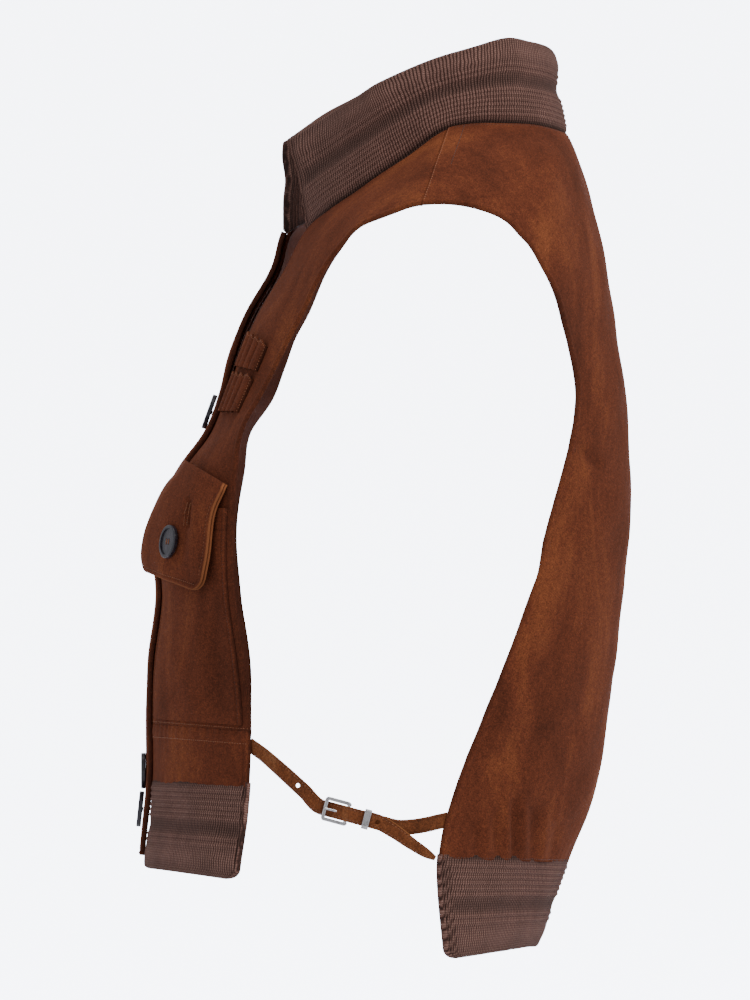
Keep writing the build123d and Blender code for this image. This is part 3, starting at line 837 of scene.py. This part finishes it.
# Joins two mirrored halves and opens their middle, where they meet in one sheet.
def welded(name, parts):
    whole = joined(name, parts)
    bpy.ops.object.mode_set(mode="EDIT")
    bpy.ops.mesh.select_all(action="SELECT")
    bpy.ops.mesh.remove_doubles(threshold=0.00002)
    bpy.ops.mesh.select_mode(type="FACE")
    bpy.ops.mesh.select_all(action="DESELECT")
    bpy.ops.object.mode_set(mode="OBJECT")
    near = [abs(vertex.co.x) < 0.00002 for vertex in whole.data.vertices]
    for face in whole.data.polygons:
        face.select = all(near[corner] for corner in face.vertices)
    bpy.ops.object.mode_set(mode="EDIT")
    bpy.ops.mesh.delete(type="ONLY_FACE")
    bpy.ops.mesh.select_all(action="SELECT")
    bpy.ops.mesh.normals_make_consistent(inside=False)
    bpy.ops.object.mode_set(mode="OBJECT")
    whole.select_set(False)
    return whole


back = settle(welded("back", [half["object"] for half in backHalves]), "root", ["back_panel"])
flat, area = rest(backHalves[0])
liningHalves = []
for right in (False, True):
    liningLook = {
        "rows": (0.5, 15.97),
        "thick": 0.5,
        "off": -1.75,
        "uneven": 0.45,
        "seed": 8,
        "step": 3,
        "stepAcross": 3,
        "folds": backLook["folds"],
        "start": lambda values: np.where(values[:, 2] > 0.5, values[:, 2] + 2, 0),
        "stop": lambda values: values[:, 5] - 0.8,
    }
    liningHalves.append(panelOn("liningHalf", backRows, liningLook, liningCloth, right))
backLining = welded("liningBack", [half["object"] for half in liningHalves])
settle(backLining, "root", ["back_lining"])
flat, area = rest(liningHalves[0])
for half, side in zip(backHalves, ("Left", "Right")):
    long = half["downs"][-1] - half["downs"][0]
    edgeAt = np.linspace(1, half["across"][0, -1] - 2, 60)
    lines = seam(half, np.full(60, 10.5), np.linspace(1, half["across"][4, -1] * 0.62, 60), thick=0.6)
    seamLines = seam(half, np.full(60, 0.8), edgeAt, thick=0.5)
    settle(stitching("shoulderStitches" + side, seamLines))
    lines += seam(half, np.full(140, long - 1.6), np.linspace(1, half["across"][-1, -1] - 1, 140))
    downs = np.linspace(14, long - 3, 200)
    widthAt = widthsAt(half, downs)
    lines += seam(half, downs, widthAt - 4.6, thick=0.3, sink=0.15)
    lines += seam(half, np.linspace(4, 108, 70), np.full(70, 2.8))
    settle(stitching("backStitches" + side, lines, darkThread))
print("stage: back made")


knitThick = 5.0


# Height of a knitted band's cross ridges, by the distance from its seam.
def knitRidges(fromSeam):
    height = np.zeros_like(fromSeam)
    for middle in (6.6, 10.2, 13.8, 17.4, 21.0, 24.6):
        height += 0.75 * np.exp(-(((fromSeam - middle) / 1.05) ** 2))
    for middle in (37.5, 41.5):
        height += 0.7 * np.exp(-(((fromSeam - middle) / 1.1) ** 2))
    height -= 0.5 * np.exp(-(((fromSeam - 31) / 4.2) ** 2))
    height += 0.5 * np.exp(-(((fromSeam - 50) / 6) ** 2))
    height -= 1.6 * np.exp(-((fromSeam / 2.2) ** 2))
    return height


# How much of its half thickness a folded band still has, by the distance from its fold.
def foldShare(away, half=knitThick / 2):
    near = np.clip(away / half, 0, 1)
    return np.sqrt(np.clip(1 - (1 - near) ** 2, 0.0004, 1))


# Painted shade in the grooves between a knitted band's ridges.
def ridgePaintedShade(height):
    return np.clip(0.34 - height * 0.72, 0, 1)


def flapShrink(fromEnd, radius=9.0):
    near = np.clip(radius - fromEnd, 0, radius)
    return radius - np.sqrt(radius**2 - near**2)


def hemPanel(name, rows, look, right):
    at = rowPlaces(rows)
    first, last = (np.interp(place, np.arange(len(rows)), at) for place in look["rows"])
    near = (0, 0.15, 0.45, 0.9, 1.5, 2.2, 3)
    downs = first + spaced(last - first, 0.6, near)(last - first)
    shrink = flapShrink(last - downs, 7.0)
    starts = look.get("start", lambda values: values[:, 2])
    base, out, across = arcGrid(
        rows, downs, lambda values: starts(values) + shrink * look["closed"], lambda values: values[:, 5]
        - shrink, 1.2, right
    )
    normals = normalsOf(base, out)
    fromSeam = (downs - first)[:, None] + 0 * across
    scaled = fromSeam * 62 / (last - first)
    share = foldShare((last - downs)[:, None] + 0 * across)
    side = foldShare(
        np.minimum(across, across[:, -1:] - across), 1.6
    ) if look["closed"] else foldShare(across[:, -1:] - across, 1.2)
    fromSide = across[:, -1:] - across
    sideEdge = np.exp(-((fromSide / look["sideEdge"]) ** 6))
    ridges = knitRidges(scaled) * (1 - sideEdge) + 0.7 * np.sin(fromSide * 2.6 + 0.6) * sideEdge
    sway = foldHeight(base, look.get("folds", ())) + 0.5 * ripple(base, 45, look["seed"])
    half = knitThick / 2 * share * (0.35 + 0.65 * side)
    centre = look["off"] - knitThick / 2 + sway
    top = centre + half + ridges * share
    under = centre - half - ridges * share * 0.5
    flat = np.stack([across, fromSeam], -1)
    made = shell(name, base, normals, top, under, ribKnit, flat, 1 + 0 * across, ridgePaintedShade(ridges))
    return {
        "object": made, "across": across, "downs": downs, "area": areaOf(base), "points": base,
        "normals": normals,
    }


for side, rows, right in sideNames:
    look = {
        "rows": (14.96, 16), "off": 0.6, "closed": True, "sideEdge": 2.5, "seed": 12 + right,
        "start": lambda values: np.full(len(values), 20.5),
        "folds": [(-150, -384, -146, -445, 12, 0.9), (-132, -400, -128, -450, 9, -0.8)],
    }
    hem = hemPanel("hem" + side.capitalize(), rows, look, right)
    settle(hem["object"], "root", [f"hem_rib_{side}"])
    flat, area = rest(hem)
halves = []
for right in (False, True):
    look = {
        "rows": (15.97, 17), "off": 0.3, "closed": False, "sideEdge": 8.0, "seed": 15,
        "folds": [
            (20, -436, 24, -500, 12, 1.0), (50, -440, 46, -495, 12, -1.0), (72, -440, 60, -492, 9, 0.8)
        ],
    }
    halves.append(hemPanel("hemHalf", backRows, look, right))
backHem = welded("hemBack", [half["object"] for half in halves])
settle(backHem, "root", ["hem_rib_back"])
flat, area = rest(halves[0])

seamHalf = [(69, -19, 15), (71, 8, 33), (69, 25, 36), (61, 45, 36), (45, 65, 35), (24, 78, 32)]
edgeHalf = [(68, -36, 63), (70, 2, 79), (68, 23, 85), (60, 45, 91), (42, 61, 89), (22, 72, 86)]
seamLeft = [(20, -83, -32), (44, -68, -19), (60, -45, -3)]
edgeLeft = [(15, -95, 26), (42, -68, 43), (58, -52, 53)]
seamRight = [(-2, -98, -32), (-38, -74, -20), (-60, -46, -3)]
edgeRight = [(0, -98, 25), (-36, -74, 42), (-57, -53, 53)]


def flipped(points):
    return [(-x, y, z) for x, y, z in reversed(points)]


seamLine = np.array([*seamLeft, *seamHalf, (0, 84, 29), *flipped(seamHalf), *reversed(seamRight)], float)
edgeLine = np.array([*edgeLeft, *edgeHalf, (0, 76, 82), *flipped(edgeHalf), *reversed(edgeRight)], float)
at = lengthsOf(seamLine)
stations = spaced(at[-1], 1.7, (0, 0.3, 0.8, 1.6, 2.6))(at[-1])
feet, rims = smooth(seamLine, at, stations), smooth(edgeLine, at, stations)
tall = np.linalg.norm(rims - feet, axis=1)
ups = spaced(60, 0.7, (0, 0.15, 0.45, 0.9, 1.5, 2.2, 3))(60.0)
share = ups[None, :, None] / 60
base = feet[:, None] * (1 - share) + rims[:, None] * share
rise = (rims - feet) / tall[:, None]
ahead = np.gradient(feet, axis=0)
out = np.cross(ahead, rise)
out /= np.linalg.norm(out, axis=1)[:, None]
out = out[:, None] + 0 * base
normals = normalsOf(base, out)
fromSeam = ups[None, :] + 0 * base[..., 0]
fromEnd = np.minimum(stations, at[-1] - stations)[:, None] + 0 * fromSeam
endEdge = np.exp(-((fromEnd / (6 + 8 * (stations > at[-1] / 2)[:, None])) ** 6))
ridges = knitRidges(fromSeam) * (1 - endEdge) + 0.7 * np.sin(fromEnd * 2.2) * endEdge
fold = foldShare(60 - fromSeam)
endShare = foldShare(np.minimum(stations, at[-1] - stations), 1.6)[:, None]
half = knitThick / 2 * fold * (0.3 + 0.7 * endShare)
sway = (
    0.6 * ripple(base, 60, 21) - 1.6 * np.exp(-(((fromSeam - 33) / 9) ** 2))
    + 0.8 * np.exp(-(((fromSeam - 50) / 8) ** 2))
)
centre = -knitThick / 2 + sway
top, under = centre + half + ridges * fold, centre - half - 0.5 * ridges * fold
flat = np.stack([stations[:, None] + 0 * fromSeam, fromSeam], -1)
shadow = np.clip(ridgePaintedShade(ridges) + 0.45 * endEdge * (stations > at[-1] / 2)[:, None], 0, 1)
collar = shell("collar", base, normals, top, under, ribKnit, flat, 1 + 0 * fromSeam, shadow)
settle(collar, "root", ["collar_rib"])
print("stage: knits made")


placketLook = {
    "rows": (4.12, 15.86),
    "thick": 2.4,
    "off": 3.5,
    "uneven": 0.3,
    "seed": 4,
    "stepAcross": 1.8,
    "start": lambda values: np.full(len(values), -18.0),
    "stop": lambda values: np.interp(-values[:, 1], (84, 112), (2.0, 18.0)),
    "relief": lambda shape: turnedEdge(shape["in"], 4) + turnedEdge(shape["out"], 4)
    + turnedEdge(shape["end"], 3),
}
placket = panelOn("placket", rightRows, placketLook, suedeSkin)
settle(placket["object"], "root", ["placket_over_right"])
flat, area = rest(placket)
standLook = {
    "rows": (4.12, 15.86), "thick": 2.6, "off": -2.2, "uneven": 0.3, "seed": 3, "stepAcross": 2.2,
    "start": lambda values: np.full(len(values), -16.5),
    "stop": lambda values: np.full(len(values), 16.8),
    "relief": lambda shape: turnedEdge(shape["in"], 4) + turnedEdge(shape["end"], 3),
}
stand = panelOn("buttonStand", leftRows, standLook, suedeSkin)
settle(stand["object"], "root", ["button_stand_left"])
flat, area = rest(stand)
long = placket["downs"][-1] - placket["downs"][0]
downs = np.linspace(2, long - 2, 260)
lines = seam(placket, downs, np.full(260, 4.0), sink=0.15)
lines += seam(placket, downs, widthsAt(placket, downs) - 4.0, sink=0.15)
settle(stitching("placketStitches", lines))

pocketLook = {
    "rows": (10.7, 13.92),
    "thick": 1.5,
    "off": 1.75,
    "step": 1.5,
    "start": lambda values: np.full(len(values), 30.0),
    "stop": lambda values: values[:, 5] - 3.2,
    "folds": frontLook["folds"],
    "relief": lambda shape: turnedEdge(shape["in"], 3) + turnedEdge(shape["out"], 3)
    + 0.4 * np.exp(-(((shape["top"] - 3) / 3) ** 2)) - 0.3 * np.exp(-(((shape["top"] - 14) / 0.9) ** 2)),
}

flapLook = {
    "rows": (0, 3),
    "step": 1.2,
    "stepAcross": 1.5,
    "uneven": 0.35,
    "seed": 31,
    "folds": [
        (-157.5, -203, -160, -224, 1.7, -3.0),
        (-160, -214, -163, -246, 3.0, -1.4),
        (-151, -188, -157, -252, 6, 1.1),
        (-178, -220, -174, -264, 7, 1.0),
        (-172, -188, -167, -222, 8, 1.0),
        (-163, -250, -150, -262, 5, -0.8),
    ],
}


# Height of a flap's rolled and stitched edge, and of the roll along its hinge.
def flapRelief(shape):
    nearest = np.minimum.reduce([shape["in"], shape["out"], shape["end"]])
    roll = -0.45 * np.exp(-((nearest / 0.7) ** 2))
    groove = -0.35 * np.exp(-(((nearest - 3.2) / 0.8) ** 2))
    return roll + groove + 0.5 * np.exp(-(((shape["top"] - 3) / 3) ** 2))


# Back face and facing of a pocket button, from its own solid.
def buttonSeat(name):
    points = np.array([tuple(vertex.co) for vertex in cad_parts[name].data.vertices]) * 1000
    centre = points.mean(0)
    facing = np.linalg.eigh(np.cov(points.T))[1][:, 0]
    facing = -facing * np.sign(facing[1])
    return centre + facing * ((points - centre) @ facing).min(), facing


loopLook = {"count": 4, "height": 3.1, "from": 33.0, "to": 82.0}
for side, rows, right in sideNames:
    seed = 3 + right
    pocket = panelOn(
        "pocket" + side.capitalize(), rows, {**pocketLook, "uneven": 0.3, "seed": seed}, suedeSkin, right
    )
    settle(pocket["object"], "root", [f"pocket_{side}"])
    flat, area = rest(pocket)
    long = pocket["downs"][-1] - pocket["downs"][0]
    downs = np.linspace(1, long - 1, 120)
    widthAt = widthsAt(pocket, downs)
    lines = (
        seam(pocket, downs, widthAt - 2.6, sink=0.15) + seam(pocket, downs, np.full(120, 2.6), sink=0.15)
    )
    settle(stitching("pocketStitches" + side.capitalize(), lines, darkThread))

    # The flap's outer layer and its facing show as two cut edges.
    for layer, top, thick, inset in (("flap", 0.0, 1.3, 0.0), ("flapFacing", -2.1, 1.2, -0.3)):
        look = {
            **flapLook,
            "off": top,
            "thick": thick,
            "relief": flapRelief,
            "cut": ("in", "out", "end"),
            "worn": 1.0,
        }
        at = rowPlaces(flapRows)
        downs = spaced(at[-1], look["step"])(at[-1])
        shrink = flapShrink(at[-1] - downs)
        look["start"] = lambda values, inset=inset, shrink=shrink: values[:, 2] + inset + shrink
        look["stop"] = lambda values, inset=inset, shrink=shrink: values[:, 5] - inset - shrink
        flap = panelOn(layer + side.capitalize(), flapRows, look, suedeSkin, right)
        node = "pocket_flap_" if layer == "flap" else "flap_facing_"
        settle(flap["object"], None, [node + side])
        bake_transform(flap["object"])
        flat, area = rest(flap)
        if layer == "flap":
            outer = flap
    long = outer["downs"][-1] - outer["downs"][0]
    downs = np.linspace(16, long - 9, 60)
    widthAt = widthsAt(outer, downs)
    lines = seam(outer, downs, widthAt - 3.2, sink=0.12) + seam(outer, downs, np.full(60, 3.2), sink=0.12)
    lines += seam(
        outer, np.full(60, long - 3.2), np.linspace(8, outer["across"][-8, -1] - 8, 60), sink=0.12
    )
    holeSpots = [(-158, -206), (-159, -213), (-160, -221)]
    downs, across = sideSpots(outer, holeSpots)
    for shift, turn in ((-1.1, 1.25), (1.1, -1.25)):
        lines += seam(outer, downs, across + shift, pitch=0.62, long=1.5, thick=0.4, turn=turn)
    settle(stitching("flapStitches" + side.capitalize(), lines), f"flap_{side}")

    middle, facing = buttonSeat("pocket_button_left")
    across = np.cross(facing, (0, 0, 1))
    across /= np.linalg.norm(across)
    upward = np.cross(across, facing)
    lines = []
    for turn in (-1, 1):
        for lean in (-0.25, 0.25):
            spot, way = middle + facing * 2.35 + across * (1.5 * turn + lean), upward
            if right:
                spot, way = spot * (-1, 1, 1), way * (-1, 1, 1)
            lines.append((spot, way, facing * ((-1, 1, 1) if right else (1, 1, 1)), 3.8, 0.55))
    settle(stitching("buttonThread" + side.capitalize(), lines), f"flap_button_{side}")

    for level, span in (("Upper", (6.5, 7.3)), ("Lower", (7.5, 8.5))):
        pitch = (loopLook["to"] - loopLook["from"]) / loopLook["count"]

        def tunnels(shape, pitch=pitch):
            along = (np.abs(shape["points"][..., 0]) - loopLook["from"]) / pitch
            within = np.abs((along % 1) - 0.5) * 2
            return loopLook["height"] * np.sqrt(np.clip(1 - within**2.2, 0, 1)) * 0.95

        look = {
            "rows": span, "step": 1.0, "stepAcross": 0.6, "off": 0.9, "seed": seed,
            "uneven": 0.3, "thick": 1.1,
            "folds": frontLook["folds"],
            "start": lambda values: np.full(len(values), loopLook["from"]),
            "stop": lambda values: np.full(len(values), loopLook["to"]),
            "relief": tunnels,
            "wavy": lambda shape, pitch=pitch: 1.3 * np.exp(-shape["top"] / 2.5)
            * np.cos((np.abs(shape["points"][..., 0]) - loopLook["from"]) / pitch * 2 * np.pi),
            # Painted shade: darker where the loops sink, between them.
            "paintedShade": lambda shape, tunnels=tunnels: np.clip(1.0 - tunnels(shape) / 2.3, 0, 1),
        }
        strip = panelOn("loops" + level + side.capitalize(), rows, look, suedeSkin, right)
        settle(strip["object"], "root", [f"loop_strip_{level.lower()}_{side}"])
        long = strip["downs"][-1] - strip["downs"][0]
        lines = []
        for turnIndex in range(loopLook["count"] + 1):
            x = strip["across"][:, -1].mean() * turnIndex / loopLook["count"]
            shiftIn = 0.5 if turnIndex == 0 else (-0.5 if turnIndex == loopLook["count"] else 0)
            lines += seam(
                strip, np.linspace(0.5, long - 0.5, 20), np.full(20, x + shiftIn), pitch=1.9, long=1.6,
                turn=0.5 if shiftIn else 0.0,
            )
        lines += seam(
            strip, np.full(80, 0.6), np.linspace(0.5, strip["across"][0, -1] - 0.5, 80), pitch=1.7,
            long=1.9, turn=1.1,
        )
        settle(stitching("loopStitches" + level + side.capitalize(), lines))
print("stage: placket, pockets and loops made")


strapLean = math.radians(15)
heelBar = np.array([151.0, -57.0, -405.8])
strapAlong = np.array([0, math.cos(strapLean), -math.sin(strapLean)])
strapUp = np.array([0, math.sin(strapLean), math.cos(strapLean)])
strapOut = np.array([1.0, 0, 0])


def onStrap(x, y, z):
    return heelBar + strapAlong * x + strapUp * y + strapOut * z


# A flat leather strap along a smooth line; ups are the ways that its width points.
def ribbon(name, centres, widths, ups, thick, right, step=0.7):
    centres, ups = np.array(centres, float), np.array(ups, float)
    at = lengthsOf(centres)
    places = np.linspace(0, at[-1], int(at[-1] / step))
    middle = smooth(centres, at, places)
    up = smooth(ups, at, places)
    up /= np.linalg.norm(up, axis=1)[:, None]
    width = smooth(np.array(widths, float)[:, None], at, places)[:, 0]
    ahead = np.gradient(middle, axis=0)
    ahead /= np.linalg.norm(ahead, axis=1)[:, None]
    up -= ahead * (up * ahead).sum(1)[:, None]
    up /= np.linalg.norm(up, axis=1)[:, None]
    out = np.cross(ahead, up)
    out *= np.sign(out[0, 0] if abs(out[0, 0]) > 0.1 else out[len(out) // 2, 0])
    part = np.array([-1, -0.96, -0.88, -0.78, -0.68, -0.55, -0.3, 0, 0.3, 0.55, 0.68, 0.78, 0.88, 0.96, 1])
    base = middle[:, None] + up[:, None] * (part[None, :, None] * width[:, None, None] / 2)
    rounded = np.sqrt(np.clip(1 - np.abs(part) ** 9, 0.05, 1))
    groove = 0.18 * np.exp(-(((np.abs(part) - 0.72) / 0.07) ** 2))
    half = thick / 2 * rounded[None] + 0 * width[:, None]
    wear = 0.06 * ripple(base, 7, 5)
    if right:
        base, out = base * np.array([-1, 1, 1]), out * np.array([-1, 1, 1])
    normals = out[:, None] + 0 * base
    flat = np.stack([part[None] * width[:, None] / 2, places[:, None] + 0 * part[None]], -1)
    edge = (1 - np.abs(part))[None] * width[:, None] / 2 / 10 * 3
    # Painted shade in the stitch grooves: the groove depth darkens the colour.
    made = shell(
        name, base, normals, half - groove + wear, -half + wear, strapSkin, flat,
        np.clip(edge, 0, 1), groove / 0.3 + 0 * width[:, None],
    )
    lines = []
    for column in (4, 10):
        lines += stitchesAlong(
            base[4:-6, column] + normals[4:-6, column] * (half - groove)[0, column], normals[4:-6, column],
            pitch=2.4, thick=0.42,
        )
    return made, at[-1] / 1000, lines


# Cuts round holes; each is (centre, way, radius across, radius along).
def cutHoles(made, holes, right):
    for centre, way, wide, long in holes:
        centre, way = np.array(centre, float), np.array(way, float)
        if right:
            centre, way = centre * (-1, 1, 1), way * (-1, 1, 1)
        bpy.ops.mesh.primitive_cylinder_add(
            vertices=28, radius=wide / 1000, depth=0.007, location=tuple(centre / 1000)
        )
        punch = bpy.context.active_object
        punch.rotation_mode = "QUATERNION"
        punch.rotation_quaternion = Vector(way).to_track_quat("Z", "Y")
        cut = made.modifiers.new("hole", "BOOLEAN")
        cut.object = punch
        cut.solver = "EXACT"
        bpy.context.view_layer.objects.active = made
        bpy.ops.object.modifier_apply(modifier=cut.name)
        bpy.data.objects.remove(punch, do_unlink=True)


def leaned(degrees):
    return (math.sin(math.radians(degrees)), 0, math.cos(math.radians(degrees)))


frontPath = [
    (
        (127, -119.2, -361.5), leaned(8)
    ), ((134, -110.8, -367.5), leaned(7)), ((140, -101.5, -375.5), leaned(5)),
    ((146, -84.5, -391), leaned(3)),
]
frontPath += [
    (onStrap(x, 0, z), strapUp)
    for x, z in ((-17, -2.05), (-13.5, -2.05), (-1.5, 3.75), (4, 3.75), (8, 2.6), (22, 2.6))
]
frontPath += [
    (onStrap(x, y, z), strapUp)
    for x, y, z in ((32, -2.8, 3.0), (46, -8, 3.3), (57, -11.5, 3.2), (62, -12.8, 3.1))
]
backPath = [(onStrap(x, 0, z), strapUp) for x, z in (
    (27, 0.8), (16, 0.8), (8, 0.8), (2, 2.05), (0, 2.05), (-1.45, 1.45), (-2.05, 0),
    (-1.45, -1.45), (0, -2.05), (2, -2.05), (8, -0.8), (16, -0.8), (30, -0.8),
)]
backPath += [
    ((149.2, -25.5, -414.1), leaned(0)), ((147, -16, -414), leaned(2)), ((144, -6, -412.5), leaned(4)),
    ((140.4, 2, -410.6), leaned(6)), ((137.6, 7.6, -409.4), leaned(6)),
]
for side, rows, right in sideNames:
    points, ups = zip(*frontPath)
    widths = [9.6] * 10 + [9.0, 7.4, 5.4, 2.8]
    strap, long, lines = ribbon("strapFront" + side.capitalize(), points, widths, ups, 1.3, right)
    sewn = settle(stitching("strapFrontStitches" + side.capitalize(), lines), None)
    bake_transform(sewn)
    cutHoles(strap, [
        ((144.7, -88.3, -387.5), (1, -0.37, 0), 1.5, 1.5),
        (onStrap(20.2, 0, 2.6), (1, 0, 0), 1.5, 1.5),
    ], right)
    settle(strap, None, [f"side_strap_front_{side}", f"side_strap_tip_{side}"])
    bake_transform(strap)
    points, ups = zip(*backPath)
    strap, long, lines = ribbon(
        "strapBack" + side.capitalize(), points, [9.6] * len(points), ups, 1.25, right, 0.4
    )
    settle(strap, "root", [f"side_strap_back_{side}"])
    for x in (17.5, 24.0):
        spots = np.array([onStrap(x, y, 1.45) for y in np.linspace(-4.2, 4.2, 12)])
        facing = np.array([strapOut] * 12)
        if right:
            spots, facing = spots * (-1, 1, 1), facing * (-1, 1, 1)
        lines += stitchesAlong(spots, facing, pitch=2.0, long=1.7, thick=0.5)
    settle(
        stitching("strapStitches" + side.capitalize(), lines), "root", [f"strap_stitches_{side}"]
    )
print("stage: straps made")


def dress(name, material):
    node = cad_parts[name]
    node.data.materials.clear()
    node.data.materials.append(material)


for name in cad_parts:
    if name in ("placket_buttons", "pocket_button_left", "pocket_button_right"):
        dress(name, buttonHorn)
    elif "thread" in name:
        dress(name, seamThread)
    elif name.startswith(("buckle_", "strap_keeper")):
        dress(name, brightNickel)


floorSkin, tree, shader = startMaterial("paleFloor")
shader.inputs["Base Color"].default_value = linear("#F2F4F9")
shader.inputs["Roughness"].default_value = 0.9
bpy.ops.mesh.primitive_plane_add(size=8, location=(0, 0, -0.62))
floor = bpy.context.active_object
floor.name = "floor"
floor.data.materials.append(floorSkin)
wallSkin, tree, shader = startMaterial("paleWall")
shader.inputs["Base Color"].default_value = linear("#F2F4F9")
shader.inputs["Emission Color"].default_value = linear("#EBEFFA")
shader.inputs["Emission Strength"].default_value = 7.0
bpy.ops.mesh.primitive_plane_add(
    size=1.3, location=(-2.4, -0.039, -0.205), rotation=(0, math.radians(90), 0)
)
wall = bpy.context.active_object
wall.name = "wall"
wall.data.materials.append(wallSkin)

world = bpy.data.worlds.new("studio")
bpy.context.scene.world = world
world.use_nodes = True
world.node_tree.nodes["Background"].inputs["Color"].default_value = linear("#F2F4F9")
world.node_tree.nodes["Background"].inputs["Strength"].default_value = 0.55

for name, place, power, size in (
    ("key", (1.3, 1.3, 1.4), 24, 0.8),
    ("fill", (2.0, -1.3, 0.3), 4.5, 1.4),
    ("top", (0.1, 0.2, 1.8), 8, 1.0),
):
    lamp = bpy.data.lights.new(name, "AREA")
    lamp.energy = power
    lamp.size = size
    holder = bpy.data.objects.new(name, lamp)
    bpy.context.scene.collection.objects.link(holder)
    holder.location = place
    holder.rotation_euler = (Vector((0, -0.02, -0.2)) - Vector(place)).to_track_quat("-Z", "Y").to_euler()
